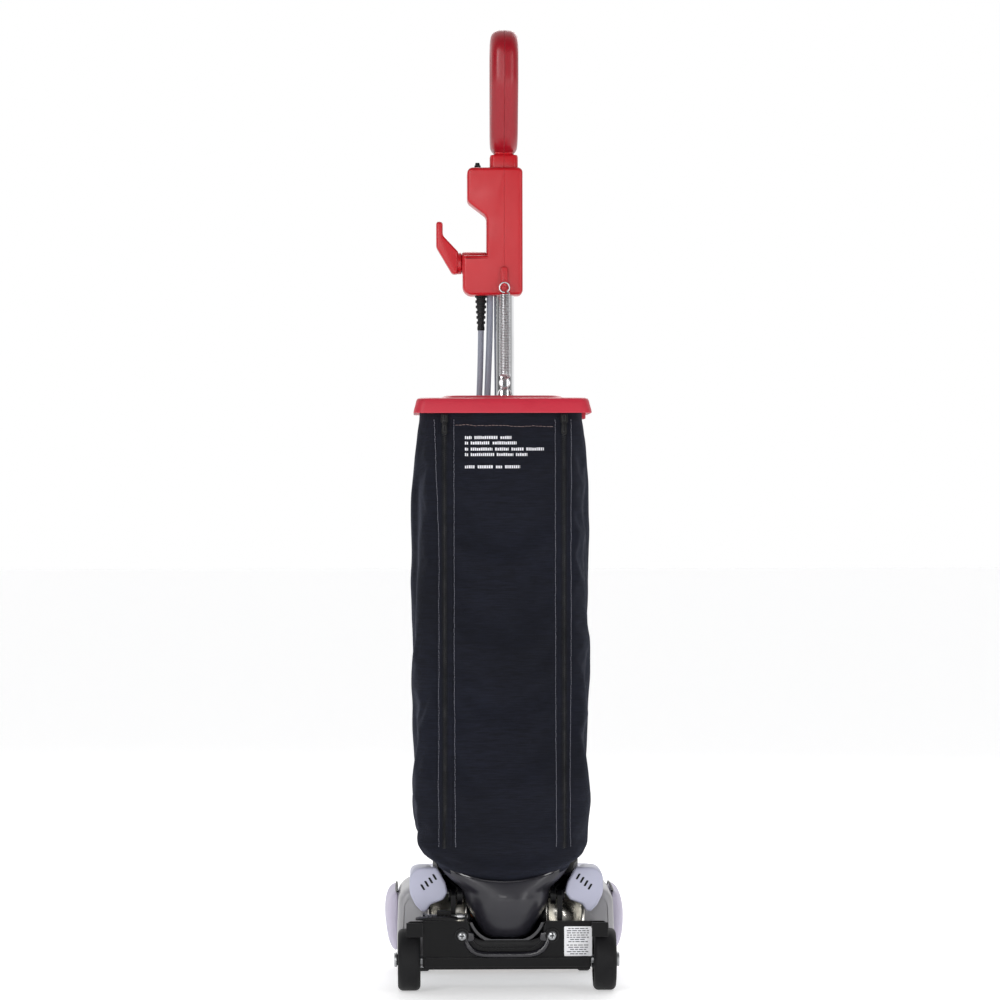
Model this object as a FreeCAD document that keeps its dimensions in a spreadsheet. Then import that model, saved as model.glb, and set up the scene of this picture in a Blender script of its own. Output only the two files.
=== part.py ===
"""Upright vacuum cleaner for commercial cleaning: base, motor, brush roll, handle and bag.

Frame: +X right, +Y forward (nozzle end), +Z up, millimetres. The origin is on the floor,
under the middle of the machine.
"""
import FreeCAD, Part
import math
import os
import re
import Sketcher
from FreeCAD import Placement, Rotation, Vector

SIZES = {
    # rear and front wheels
    "wheel_radius": 38,
    "wheel_width": 28,
    "wheel_place": 120.5,
    "axle_y": -127,
    "axle_radius": 5,
    "front_radius": 20,
    "front_width": 16,
    "front_place": 103,
    "front_y": 73,
    "carriage_y": 100,
    "carriage_z": 36,
    # recline axis of the handle
    "pivot_y": -110,
    "pivot_z": 115,
    "pin_radius": 4,
    # base
    "casting_half": 137,
    "casting_back": -84,
    "casting_front": 172,
    "casting_low": 24,
    "casting_top": 124,
    "wall": 3,
    "hood_half": 119,
    "hood_top": 140,
    "hood_back": -112,
    "hood_front": 60,
    "bumper_half": 152.5,
    "bumper_front": 190,
    "plate_back": -136,
    "plate_thick": 3,
    # brush roll and motor
    "brush_y": 138,
    "brush_z": 40,
    "core_radius": 20,
    "bristle_reach": 26.5,
    "belt_place": -85,
    "roll_pulley": 16,
    "motor_y": 25,
    "motor_z": 80,
    "motor_pulley": 8,
    "shaft_radius": 5,
    "fan_radius": 38,
    # boot under the bag
    "drum_radius": 54,
    "drum_half": 43,
    "rim_half": 83,
    "rim_tip": 159,
    "rim_arc": 165,
    "shell": 2.5,
    # handle tube and switch housing
    "tube_y": -27,
    "tube_radius": 12.7,
    "tube_wall": 1.2,
    "tube_foot": 165,
    "tube_head": 1010,
    "housing_low": 862,
    "housing_top": 1023,
    "housing_back": -52,
    "housing_front": -2,
    "hook_z": 903,
    "grip_top": 1197,
    "grip_half": 18.5,
    # bag and its lid
    "bag_half": 109,
    "bag_back": -180,
    "bag_front": -45,
    "bag_top": 724,
    "cloth": 2,
    "zip_place": 73,
    "lid_low": 711.3,
    "lid_top": 730,
    "lid_half": 109,
    "lid_back": -190,
    "hang_y": -61,
    # cord
    "cord_radius": 3.9,
    "lead_radius": 4.2,
    "relief_x": -29,
    "relief_end": 819,
    "coil_z": 350,
    "coil_inner": 49,
    "coil_outer": 89,
    "coil_back": 1,
    "coil_front": 41,
}

BASE_Z_SPAN = ("0", "200")  # taller than the whole base
RUN_SHARE = 0.45  # share of the shorter run that a bend in a cord takes up

doc = FreeCAD.newDocument("upright_vacuum")
sheet = doc.addObject("Spreadsheet::Sheet", "Size")
for row, (size_name, size) in enumerate(SIZES.items(), 1):
    sheet.set(f"A{row}", size_name)
    sheet.set(f"B{row}", str(size))
    sheet.setAlias(f"B{row}", size_name)
doc.recompute()

nodes = []


# --- helpers: expressions, sketches and features ---------------------------------------


def cell(text):
    """An expression in which each size's name points at its spreadsheet cell."""
    return re.sub(r"[a-z_]+\w*", lambda m: "Size." + m[0] if m[0] in SIZES else m[0], str(text))


def value(text):
    return float(sheet.evalExpression(cell(text)))


def drive(obj, prop, text):
    obj.setExpression(prop, cell(text))


def keep(name, obj):
    """Name a finished sub-part, which becomes a node."""
    obj.Label = name
    nodes.append(obj)
    return obj


def arc_centre(start, end, radius, side):
    chord = end - start
    lift = math.sqrt(max(radius * radius - chord.Length**2 / 4, 0))
    left = Vector(-chord.y, chord.x, 0).normalize()
    return (start + end) * 0.5 + left * (lift if side == "left" else -lift)


def add_outline(sketch, outline):
    """A closed outline of (x, y) corners; (x, y, radius, side) is reached by an arc."""
    points = [Vector(value(p[0]), value(p[1]), 0) for p in outline]
    ends = []
    for i, start in enumerate(points):
        target = outline[(i + 1) % len(outline)]
        end = points[(i + 1) % len(outline)]
        if len(target) == 2:
            edge = sketch.addGeometry(Part.LineSegment(start, end), False)
            ends.append((edge, 1, 2))
            continue
        radius = value(target[2])
        centre = arc_centre(start, end, radius, target[3])
        first, last = (start, end) if target[3] == "left" else (end, start)
        low = math.atan2(first.y - centre.y, first.x - centre.x)
        high = math.atan2(last.y - centre.y, last.x - centre.x)
        if high < low:
            high += 2 * math.pi
        circle = Part.Circle(centre, Vector(0, 0, 1), radius)
        edge = sketch.addGeometry(Part.ArcOfCircle(circle, low, high), False)
        ends.append((edge, 1, 2) if target[3] == "left" else (edge, 2, 1))
        bound = sketch.addConstraint(Sketcher.Constraint("Radius", edge, radius))
        drive(sketch, f"Constraints[{bound}]", target[2])
    for i, (edge, begin, _) in enumerate(ends):
        before = ends[i - 1]
        sketch.addConstraint(Sketcher.Constraint("Coincident", before[0], before[2], edge, begin))
        place = (("DistanceX", outline[i][0], points[i].x), ("DistanceY", outline[i][1], points[i].y))
        for kind, text, number in place:
            bound = sketch.addConstraint(Sketcher.Constraint(kind, -1, 1, edge, begin, number))
            drive(sketch, f"Constraints[{bound}]", text)


def draw(body, plane, offset, outlines):
    """A sketch parallel to one of the body's own origin planes, offset along its axis."""
    sketch = body.newObject("Sketcher::SketchObject", body.Name + "_sketch")
    origin_plane = next(f for f in body.Origin.OriginFeatures if f.Role == plane + "_Plane")
    sketch.AttachmentSupport = [(origin_plane, "")]
    sketch.MapMode = "FlatFace"
    drive(sketch, ".AttachmentOffset.Base.z", f"-({offset})" if plane == "XZ" else offset)
    for outline in outlines:
        add_outline(sketch, outline)
    return sketch


def pad(name, plane, low, high, *outlines):
    """A body whose outlines are drawn on XY, XZ or YZ and padded from low to high."""
    body = doc.addObject("PartDesign::Body", name)
    sketch = draw(body, plane, low, outlines)
    feature = body.newObject("PartDesign::Pad", name + "_pad")
    feature.Profile = sketch
    feature.Reversed = plane == "XZ"
    drive(feature, "Length", f"({high}) - ({low})")
    return body


def round_edges(body, radius, pick):
    """Fillet the edges of the body's tip that pick accepts."""
    doc.recompute()
    tip = body.Tip
    chosen = [f"Edge{i}" for i, e in enumerate(tip.Shape.Edges, 1) if pick(e.BoundBox)]
    fillet = body.newObject("PartDesign::Fillet", body.Name + "_fillet")
    fillet.Base = (tip, chosen)
    drive(fillet, "Radius", radius)
    return body


def loft(name, *sections):
    """A body lofted straight between rounded rectangles.

    Each section is (z, left, right, back, front, corner radius).
    """
    body = doc.addObject("PartDesign::Body", name)
    sketches = [draw(body, "XY", s[0], [rounded(*s[1:])]) for s in sections]
    doc.recompute()
    feature = body.newObject("PartDesign::AdditiveLoft", name + "_loft")
    feature.Profile = sketches[0]
    feature.Sections = sketches[1:]
    feature.Ruled = True
    return body


def rounded(left, right, low, high, corner):
    """The outline of a rectangle with round corners."""
    return [
        (f"{left} + {corner}", low),
        (f"{right} - {corner}", low),
        (right, f"{low} + {corner}", corner, "left"),
        (right, f"{high} - {corner}"),
        (f"{right} - {corner}", high, corner, "left"),
        (f"{left} + {corner}", high),
        (left, f"{high} - {corner}", corner, "left"),
        (left, f"{low} + {corner}"),
    ][1:] + [(f"{left} + {corner}", low, corner, "left")]


TURN = {"X": Rotation(Vector(0, 1, 0), 90), "Y": Rotation(Vector(1, 0, 0), -90), "Z": Rotation()}


def put(obj, axis, place):
    """Stand an object's own Z axis along a world axis, at a place given by expressions."""
    obj.Placement = Placement(Vector(), TURN[axis])
    for side, text in zip("xyz", place):
        drive(obj, f".Placement.Base.{side}", text)


def turned(name, axis, place, outline):
    """A body of revolution; the outline's points are (radius, distance along the axis)."""
    body = doc.addObject("PartDesign::Body", name)
    sketch = draw(body, "XZ", "0", [outline])
    feature = body.newObject("PartDesign::Revolution", name + "_turn")
    feature.Profile = sketch
    feature.ReferenceAxis = (sketch, ["V_Axis"])
    feature.Angle = 360
    put(body, axis, place)
    return body


def box(name, left, right, back, front, low, high):
    block = doc.addObject("Part::Box", name)
    spans = (("x", "Length", left, right), ("y", "Width", back, front), ("z", "Height", low, high))
    for side, prop, start, end in spans:
        drive(block, prop, f"({end}) - ({start})")
        drive(block, f".Placement.Base.{side}", start)
    return block


def rod(name, axis, place, length, radius):
    cylinder = doc.addObject("Part::Cylinder", name)
    drive(cylinder, "Radius", radius)
    drive(cylinder, "Height", length)
    put(cylinder, axis, place)
    return cylinder


def torus(name, axis, place, radius, wire):
    ring = doc.addObject("Part::Torus", name)
    drive(ring, "Radius1", radius)
    drive(ring, "Radius2", wire)
    put(ring, axis, place)
    return ring


def fuse(name, *parts):
    whole = doc.addObject("Part::MultiFuse", name)
    whole.Shapes = list(parts)
    return whole


def cut(name, base, *tools):
    """The base with every tool taken away."""
    result = doc.addObject("Part::Cut", name)
    result.Base = base
    result.Tool = tools[0] if len(tools) == 1 else fuse(name + "_tools", *tools)
    return result


def common(name, first, second):
    result = doc.addObject("Part::Common", name)
    result.Base = first
    result.Tool = second
    return result


def group(name, *parts):
    """Separate solids that share one node."""
    result = doc.addObject("Part::Compound", name)
    result.Links = list(parts)
    return result


def ring(name, axis, place, length, outer, inner):
    return cut(
        name,
        rod(name + "_outside", axis, place, length, outer),
        rod(name + "_bore", axis, place, length, inner),
    )


def cord(name, points, radius):
    """A round cord along straight runs joined by tangent arcs, as large as the runs allow."""
    spots = [Vector(*p) for p in points]
    edges = []
    radii = []
    start = spots[0]
    for before, corner, after in zip(spots, spots[1:], spots[2:]):
        to_corner = (corner - before).normalize()
        onward = (after - corner).normalize()
        turn = to_corner.getAngle(onward)
        taken = RUN_SHARE * min((corner - before).Length, (after - corner).Length)
        bend = taken / math.tan(turn / 2)
        enter = corner - to_corner * taken
        leave = corner + onward * taken
        inward = (onward - to_corner).normalize()
        middle = corner + inward * (bend / math.cos(turn / 2) - bend)
        edges.append(Part.LineSegment(start, enter).toShape())
        edges.append(Part.Arc(enter, middle, leave).toShape())
        radii.append(bend)
        start = leave
    edges.append(Part.LineSegment(start, spots[-1]).toShape())
    spine = Part.Wire(edges)
    first = Part.Circle(spots[0], spots[1] - spots[0], radius)
    tube = doc.addObject("Part::Feature", name)
    tube.Shape = spine.makePipeShell([Part.Wire(first.toShape())], True, False)
    tube.Placement = Placement()
    share = tube.Shape.Volume / (math.pi * radius**2 * spine.Length)
    print(f"{name}: {spine.Length:.0f} mm, bends {[round(r) for r in radii]}, volume share {share:.4f}")
    return tube


# --- base --------------------------------------------------------------------------------


def casting_blank(name, inset):
    """The casting's outer form, or its hollow when inset by the wall."""
    side = pad(
        name + "_side",
        "YZ",
        f"-casting_half + {inset}",
        f"casting_half - {inset}",
        [
            (f"casting_back + {inset}", f"casting_low - {inset}"),
            (f"casting_front - {inset}", f"casting_low - {inset}"),
            (f"casting_front - {inset}", f"52 - {inset} / 2"),
            (f"150 - {inset} / 2", f"76 - {inset}"),
            (f"90 - {inset}", f"casting_top - {inset}"),
            (f"casting_back + {inset}", f"casting_top - {inset}"),
        ],
    )
    half = f"casting_half - {inset}"
    front = f"casting_front - {inset}"
    back = f"casting_back + {inset}"
    plan = pad(
        name + "_plan",
        "XY",
        *BASE_Z_SPAN,
        [
            (f"-({half})", back),
            (half, back),
            (half, f"{front} - 30"),
            (f"{half} - 30", front, "30", "left"),
            (f"-({half}) + 30", front),
            (f"-({half})", f"{front} - 30", "30", "left"),
        ],
    )
    return common(name, side, plan)


def make_casting():
    """Cast tray, open below, and open above under the hood and behind for the boot."""
    drum_gap = box("casting_drum_gap", -52, 52, "casting_back - 1", "casting_back + 6", 40, 113)
    rear_gap = box(
        "casting_rear_gap", -90, 90, "casting_back - 1", "casting_back + 6", 112, "casting_top + 1",
    )
    hood_gap = box(
        "casting_hood_gap", -112, 112, "casting_back - 1", "hood_front - 6", 110, "casting_top + 1",
    )
    knob_hole = rod("casting_knob_hole", "Z", (0, 75, 110), 20, "4.1")
    body = cut(
        "casting", casting_blank("casting_outside", "0"), casting_blank("casting_hollow", "wall"),
        drum_gap, rear_gap, hood_gap, knob_hole,
    )
    keep("base_casting", body)


def hood_profile(name, low_x, high_x, inset, drop, front):
    """Side view of the hood, padded across."""
    back = f"hood_back + {inset}"
    top = f"hood_top - {inset}"
    lip = f"casting_top + 0.2 - {drop}"
    arc = f"28 - {inset}"
    return pad(
        name,
        "YZ",
        low_x,
        high_x,
        [
            (back, f"88 - {drop}"),
            ("casting_back - 0.3", f"88 - {drop}"),
            ("casting_back - 0.3", lip),
            (front, lip),
            ("hood_front - 25", f"hood_top - 5 - {inset}"),
            ("0", top),
            ("hood_back + 28", top),
            (back, "hood_top - 28", arc, "left"),
        ],
    )


def make_hood():
    """Moulded cover over the motor, with a lobe each side of the boot and cooling slots."""
    outside = hood_profile("hood_outside", "-hood_half", "hood_half", "0", "0", "hood_front")
    side_edges = lambda b: b.XLength < 0.01 and abs(abs(b.XMin) - value("hood_half")) < 0.01 and b.ZMax > 130
    round_edges(outside, "6", side_edges)
    hollow = hood_profile(
        "hood_hollow", "-hood_half + shell", "hood_half - shell", "shell", "6", "hood_front - 3"
    )
    middle = box("hood_middle", -88, 88, "hood_back - 1", -38, 80, "hood_top + 5")
    walls = []
    for side, name in ((-1, "left"), (1, "right")):
        lobe = pad(
            f"hood_wall_{name}",
            "YZ",
            "88" if side > 0 else "-90.5",
            "90.5" if side > 0 else "-88",
            [
                ("hood_back", "88"),
                ("casting_back - 0.3", "88"),
                ("casting_back - 0.3", "casting_top + 0.2"),
                ("-38", "casting_top + 0.2"),
                ("-38", "hood_top"),
                ("hood_back + 28", "hood_top"),
                ("hood_back", "hood_top - 28", "28", "left"),
            ],
        )
        walls.append(lobe)
    slots = []
    for side in (-1, 1):
        for number in range(4):
            x = side * (94 + 5.5 * number)
            z = 128 - 4 * number
            name = f"hood_slot_{number}_{'right' if side > 0 else 'left'}"
            slots.append(box(name, x - 1.7, x + 1.7, "hood_back - 1", -84, z - 6, z + 6))
    shell_part = cut("hood_shell", outside, hollow, middle)
    keep("hood", cut("hood_slotted", fuse("hood_whole", shell_part, *walls), *slots))


def make_bumper():
    """Soft furniture guard round the nozzle."""
    plan = pad(
        "bumper_plan",
        "XY",
        "30",
        "112",
        [
            ("-bumper_half", "-20"),
            ("bumper_half", "-20"),
            ("bumper_half", "bumper_front - 44"),
            ("bumper_half - 44", "bumper_front", "44", "left"),
            ("-bumper_half + 44", "bumper_front"),
            ("-bumper_half", "bumper_front - 44", "44", "left"),
        ],
    )
    side = pad(
        "bumper_side",
        "YZ",
        "-bumper_half",
        "bumper_half",
        [
            ("-25", "30"), ("bumper_front", "30"), ("bumper_front", "58"),
            ("172", "82"), ("122", "112"), ("-25", "112"),
        ],
    )
    inside = pad(
        "bumper_inside",
        "XY",
        "20",
        "140",
        [
            ("-casting_half - 0.3", "-30"),
            ("casting_half + 0.3", "-30"),
            ("casting_half + 0.3", "casting_front - 29.7"),
            ("casting_half - 29.7", "casting_front + 0.3", "30", "left"),
            ("-casting_half + 29.7", "casting_front + 0.3"),
            ("-casting_half - 0.3", "casting_front - 29.7", "30", "left"),
        ],
    )
    keep("bumper", cut("bumper_cut", common("bumper_blank", plan, side), inside))


def make_bottom_plate():
    """Steel plates under the base: one round the brush slot, with carriage lugs, and one behind."""
    front = pad("bottom_front", "XY", "22.3", "23.8", rounded("-132", "132", "94.5", "168", "25"))
    slot = box("bottom_slot", -119, 119, "brush_y - 23", "brush_y + 23", 20, 26)
    lugs = []
    for side, x in (("left", -78), ("right", 74)):
        lugs.append(
            box(f"bottom_lug_{side}", x, x + 4, "carriage_y - 5", "carriage_y + 5", 23, "carriage_z + 5"),
        )
    pin = rod("bottom_pin", "X", (-78, "carriage_y", "carriage_z"), 156, 3)
    rear = pad("bottom_rear", "XY", "22.3", "23.8", rounded("-132", "132", "-78", "47.5", "12"))
    keep(
        "bottom_plate",
        group("bottom", fuse("bottom_whole", cut("bottom_cut", front, slot), pin, *lugs), rear),
    )


def make_rear_chassis():
    """Cross member between the wheels, with two ears that carry the axle and the handle."""
    floor = box("chassis_floor", -103, 103, "plate_back + plate_thick + 0.5", "casting_back - 0.3", 26, 30)
    ears = []
    for side, low, high in (("left", "-69", "-63"), ("right", "63", "69")):
        ears.append(
            pad(
                f"chassis_ear_{side}",
                "YZ",
                low,
                high,
                [
                    ("plate_back + plate_thick + 0.5", "30"),
                    ("-90", "30"),
                    ("pivot_y + 11", "pivot_z"),
                    ("pivot_y - 9.5", "pivot_z", "10.6", "left"),
                    ("pivot_y - 9.5", "60"),
                    ("plate_back + plate_thick + 0.5", "48"),
                ],
            )
        )
    bores = [
        rod("chassis_axle_bore", "X", (-80, "axle_y", "wheel_radius"), 160, "axle_radius"),
        rod("chassis_pin_bore", "X", (-80, "pivot_y", "pivot_z"), 160, "pin_radius"),
    ]
    keep("rear_chassis", cut("chassis_cut", fuse("chassis_blank", floor, *ears), *bores))
    pins = []
    for side, low, head in (("left", -72, -72), ("right", 53, 69.2)):
        shank = rod(f"pin_shank_{side}", "X", (low, "pivot_y", "pivot_z"), 19, "pin_radius")
        cap = rod(f"pin_head_{side}", "X", (head, "pivot_y", "pivot_z"), 2.8, 7)
        pins.append(fuse(f"pin_{side}", shank, cap))
    keep("trunnion_pins", group("pins", *pins))


def make_rear_plate():
    """Pressed steel plate across the back, with mudguards over the wheels."""
    front = "plate_back + plate_thick"
    sheet_part = pad(
        "plate_sheet",
        "XZ",
        "plate_back",
        front,
        [
            ("-104", "30"),
            ("104", "30"),
            ("104", "78"),
            ("124", "78"),
            ("124", "80"),
            ("118", "86", "6", "left"),
            ("48", "86"),
            ("46", "70"),
            ("30", "53", "24", "right"),
            ("-30", "53"),
            ("-46", "70", "24", "right"),
            ("-48", "86"),
            ("-118", "86"),
            ("-124", "80", "6", "left"),
            ("-124", "78"),
            ("-104", "78"),
        ],
    )
    extras = [box("plate_lip", -100, 100, "plate_back - 5", "plate_back", 30, 41)]
    for side, low in (("left", -124), ("right", 104)):
        extras.append(box(f"guard_top_{side}", low, low + 20, -155, front, 78, 80.5))
        extras.append(box(f"guard_lip_{side}", low, low + 20, -155, -153, 68.5, 86))
    for side, x in (("left", -55.5), ("right", 55.5)):
        extras.append(rod(f"plate_boss_{side}", "Y", (x, "plate_back - 5", 68.4), 5, 8.5))
    for side, low in (("outer", -104), ("inner", -52)):
        tab = box(f"pedal_tab_{side}", low, low + 3, "plate_back", -120, 82, 94.5)
        extras.append(tab)
    bore = rod("pedal_pin_bore", "X", (-105, -126, 91), 60, 2.5)
    keep("rear_plate", cut("plate_cut", fuse("plate_blank", sheet_part, *extras), bore))
    screws = [
        rod(f"plate_screw_{side}", "Y", (x, "plate_back - 8", 68.4), 3, 5.5)
        for side, x in (("left", -55.5), ("right", 55.5))
    ]
    keep("rear_plate_screws", group("plate_screws", *screws))


def make_pedal():
    """Foot pedal that frees the handle, on its own pin with a return spring."""
    pad_part = box("pedal_pad", -100.6, -52.6, -162, -139, 88, 93)
    arm = box("pedal_arm", -100.6, -72, -139.5, -126, 88, 93)
    block = box("pedal_block", -86, -69, -142, -136, 92, 98)
    pivot_tube = rod("pedal_tube", "X", (-100.6, -126, 91), 28.6, 4.5)
    bore = rod("pedal_bore", "X", (-101, -126, 91), 50, 2.55)
    keep("release_pedal", cut("pedal_cut", fuse("pedal_blank", pad_part, arm, block, pivot_tube), bore))
    keep("pedal_pin", rod("pedal_shaft", "X", (-105, -126, 91), 57, 2.5))
    keep("pedal_spring", ring("spring_ring", "X", (-62, -126, 91), 8, 4, 2.6))


def drum(name, grow):
    """The boot's lower bowl, a body of revolution about the recline axis."""
    half = f"drum_half + {grow}"
    radius = f"drum_radius + {grow}"
    arc = f"30 + {grow}"
    return turned(
        name,
        "X",
        (0, "pivot_y", "pivot_z"),
        [
            ("0", f"-({half})"),
            (f"22 + {grow} / 2", f"-({half})"),
            (radius, f"-18 - {grow} / 2", arc, "left"),
            (radius, f"18 + {grow} / 2"),
            (f"22 + {grow} / 2", half, arc, "left"),
            ("0", half),
        ],
    )


def make_cradle():
    """Fixed saddle that the boot turns in; it guides the motor's exhaust into the boot."""
    saddle = cut("cradle_shell", drum("cradle_outside", "5.5"), drum("cradle_inside", "2.5"))
    window = box("cradle_window", -60, 60, "plate_back + plate_thick + 0.2", -72, 50, 84)
    foot = box("cradle_foot", -25, 25, -115, -88, 30, 60)
    above = drum("cradle_above", "2.5")
    keep(
        "boot_cradle",
        fuse("cradle_whole", common("cradle_cut", saddle, window), cut("foot_cut", foot, above)),
    )


# --- wheels ------------------------------------------------------------------------------


def make_wheels():
    axle = rod("axle_rod", "X", (-139, "axle_y", "wheel_radius"), 278, "axle_radius")
    caps = [
        rod(f"axle_cap_{side}", "X", (x, "axle_y", "wheel_radius"), 3.5, 9)
        for side, x in (("left", -139), ("right", 135.5))
    ]
    keep("rear_axle", fuse("axle_whole", axle, *caps))
    half = "wheel_width / 2"
    for side, x in (("left", "-wheel_place"), ("right", "wheel_place")):
        wheel = turned(
            f"rear_wheel_{side}_body",
            "X",
            (x, "axle_y", "wheel_radius"),
            [
                ("axle_radius + 0.05", f"-{half}"),
                ("10", f"-{half}"),
                ("10", "-6"),
                ("26", "-6"),
                ("26", f"-{half}"),
                ("wheel_radius - 3", f"-{half}"),
                ("wheel_radius", f"-{half} + 3", "3", "left"),
                ("wheel_radius", f"{half} - 3"),
                ("wheel_radius - 3", half, "3", "left"),
                ("26", half),
                ("26", "6"),
                ("10", "6"),
                ("10", half),
                ("axle_radius + 0.05", half),
            ],
        )
        keep(f"rear_wheel_{side}", wheel)


def make_carriage():
    """Front wheels on a hinged carriage that sets the nozzle's height."""
    tube_part = rod("carriage_tube", "X", (-72, "carriage_y", "carriage_z"), 144, 5)
    tongue = box("carriage_tongue", -8, 8, 68, "carriage_y - 3", 38, 41)
    solids = [tube_part, tongue]
    for side, low, stub in (("left", -72, -112), ("right", 66, 66)):
        arm = pad(
            f"carriage_arm_{side}",
            "YZ",
            str(low),
            str(low + 6),
            [
                ("carriage_y", "carriage_z + 5"), ("front_y - 4", "front_radius + 4"),
                ("front_y - 5", "front_radius - 3"), ("front_y", "front_radius - 5"),
                ("carriage_y", "carriage_z - 5"),
            ],
        )
        solids.append(arm)
        solids.append(rod(f"carriage_stub_{side}", "X", (stub, "front_y", "front_radius"), 46, 3))
    bore = rod("carriage_bore", "X", (-80, "carriage_y", "carriage_z"), 160, 3.05)
    keep("front_carriage", cut("carriage_cut", fuse("carriage_blank", *solids), bore))
    half = "front_width / 2"
    for side, x in (("left", "-front_place"), ("right", "front_place")):
        wheel = turned(
            f"front_wheel_{side}_body",
            "X",
            (x, "front_y", "front_radius"),
            [
                ("3.05", f"-{half}"),
                ("front_radius - 2", f"-{half}"),
                ("front_radius", f"-{half} + 2", "2", "left"),
                ("front_radius", f"{half} - 2"),
                ("front_radius - 2", half, "2", "left"),
                ("3.05", half),
            ],
        )
        keep(f"front_wheel_{side}", wheel)
    knob = turned(
        "knob_body",
        "Z",
        (0, 75, 0),
        [
            ("0", "52"), ("9", "52"), ("9", "58"), ("4", "60"), ("4", "124.4"),
            ("15", "124.4"), ("15", "130"), ("12", "138"), ("0", "139"),
        ],
    )
    keep("height_knob", knob)


# --- brush roll and motor ------------------------------------------------------------------


def make_brush_roll():
    core = turned(
        "roll_body",
        "X",
        (0, "brush_y", "brush_z"),
        [
            ("0", "-128"),
            ("5", "-128"),
            ("5", "-116"),
            ("core_radius", "-116"),
            ("core_radius", "belt_place - 10"),
            ("roll_pulley", "belt_place - 9"),
            ("roll_pulley", "belt_place + 9"),
            ("core_radius", "belt_place + 10"),
            ("core_radius", "116"),
            ("5", "116"),
            ("5", "128"),
            ("0", "128"),
        ],
    )
    keep("brush_roll", core)
    rows = []
    for stretch, low, length in (("short", -114, 18), ("long", -74, 188)):
        for quarter in range(4):
            strip = doc.addObject("Part::Box", f"bristle_{stretch}_{quarter}")
            strip.Length = length
            strip.Width = 6
            drive(strip, "Height", "bristle_reach - core_radius")
            turn = Rotation(Vector(1, 0, 0), 90 * quarter)
            offset = turn.multVec(Vector(low, -3, value("core_radius")))
            strip.Placement = Placement(offset, turn)
            drive(strip, ".Placement.Base.y", f"brush_y + {offset.y:g}")
            drive(strip, ".Placement.Base.z", f"brush_z + {offset.z:g}")
            rows.append(strip)
    keep("brush_bristles", group("bristles", *rows))
    blocks = []
    for side, low in (("left", -132), ("right", 122)):
        block = box(f"block_{side}", low, low + 10, "brush_y - 10", "brush_y + 10", 30, 50)
        bore = rod(
            f"block_bore_{side}", "X",
            (low if side == "right" else low + 3.5, "brush_y", "brush_z"), 6.5, 5.06,
        )
        blocks.append(cut(f"block_cut_{side}", block, bore))
    keep("brush_end_blocks", group("blocks", *blocks))


def motor_rod(name, low, high, radius):
    return rod(name, "X", (low, "motor_y", "motor_z"), high - low, radius)


def motor_ring(name, low, high, outer, inner):
    return ring(name, "X", (low, "motor_y", "motor_z"), high - low, outer, inner)


def make_motor():
    coils = [motor_ring("coil_left", -40, -30.2, 38, 27), motor_ring("coil_right", 20.2, 30, 38, 27)]
    keep("motor_field", group("field", motor_ring("field_core", -30, 20, 40, 25.6), *coils))
    armature = fuse(
        "armature_blank", motor_rod("armature_core", -30, 20, 25), motor_rod("commutator", -52, -30, 13),
    )
    keep("motor_armature", cut("armature", armature, motor_rod("armature_bore", -53, 21, "shaft_radius")))
    shaft = motor_rod("shaft_rod", -96, 66, "shaft_radius")
    pulley = turned(
        "pulley_body",
        "X",
        (0, "motor_y", "motor_z"),
        [
            ("0", "belt_place - 9"),
            ("10", "belt_place - 9"),
            ("motor_pulley", "belt_place - 7"),
            ("motor_pulley", "belt_place + 7"),
            ("10", "belt_place + 9"),
            ("0", "belt_place + 9"),
        ],
    )
    keep("motor_shaft", fuse("shaft_whole", shaft, pulley))
    brushes = [box("carbon_front", -50, -44, "motor_y + 13.1", "motor_y + 30", 77, 83)]
    brushes.append(box("carbon_back", -50, -44, "motor_y - 30", "motor_y - 13.1", 77, 83))
    keep("carbon_brushes", group("carbons", *brushes))
    plates = [motor_ring("end_left", -60, -56, 40, 11), motor_ring("end_right", 34, 38, 40, 11)]
    keep("motor_end_plates", group("end_plates", *plates))
    bearings = [
        motor_ring("bearing_left", -60, -56, 11, "shaft_radius"),
        motor_ring("bearing_right", 34, 38, 11, "shaft_radius"),
    ]
    keep("motor_bearings", group("bearings", *bearings))
    blades = []
    for number in range(8):
        blade = doc.addObject("Part::Box", f"fan_blade_{number}")
        blade.Length = 11
        blade.Width = 2
        drive(blade, "Height", "fan_radius - 9")
        turn = Rotation(Vector(1, 0, 0), 45 * number)
        offset = turn.multVec(Vector(53.5, -1, 8))
        blade.Placement = Placement(offset, turn)
        drive(blade, ".Placement.Base.y", f"motor_y + {offset.y:.4f}")
        drive(blade, ".Placement.Base.z", f"motor_z + {offset.z:.4f}")
        blades.append(blade)
    wheel = fuse(
        "fan_blank", motor_rod("fan_disc", 52, 54, "fan_radius"),
        motor_rod("fan_hub", 52, 65, 10), *blades,
    )
    keep("suction_fan", cut("fan", wheel, motor_rod("fan_bore", 51, 70, "shaft_radius")))
    housing = turned(
        "fan_case",
        "X",
        (0, "motor_y", "motor_z"),
        [
            ("7", "46"), ("46", "46"), ("46", "76"), ("18", "76"),
            ("18", "73"), ("43", "73"), ("43", "49"), ("7", "49"),
        ],
    )
    outlet = box("fan_outlet", 51, 71, -24, -6, 68, 94)
    keep("fan_housing", cut("fan_case_cut", housing, outlet))


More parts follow.
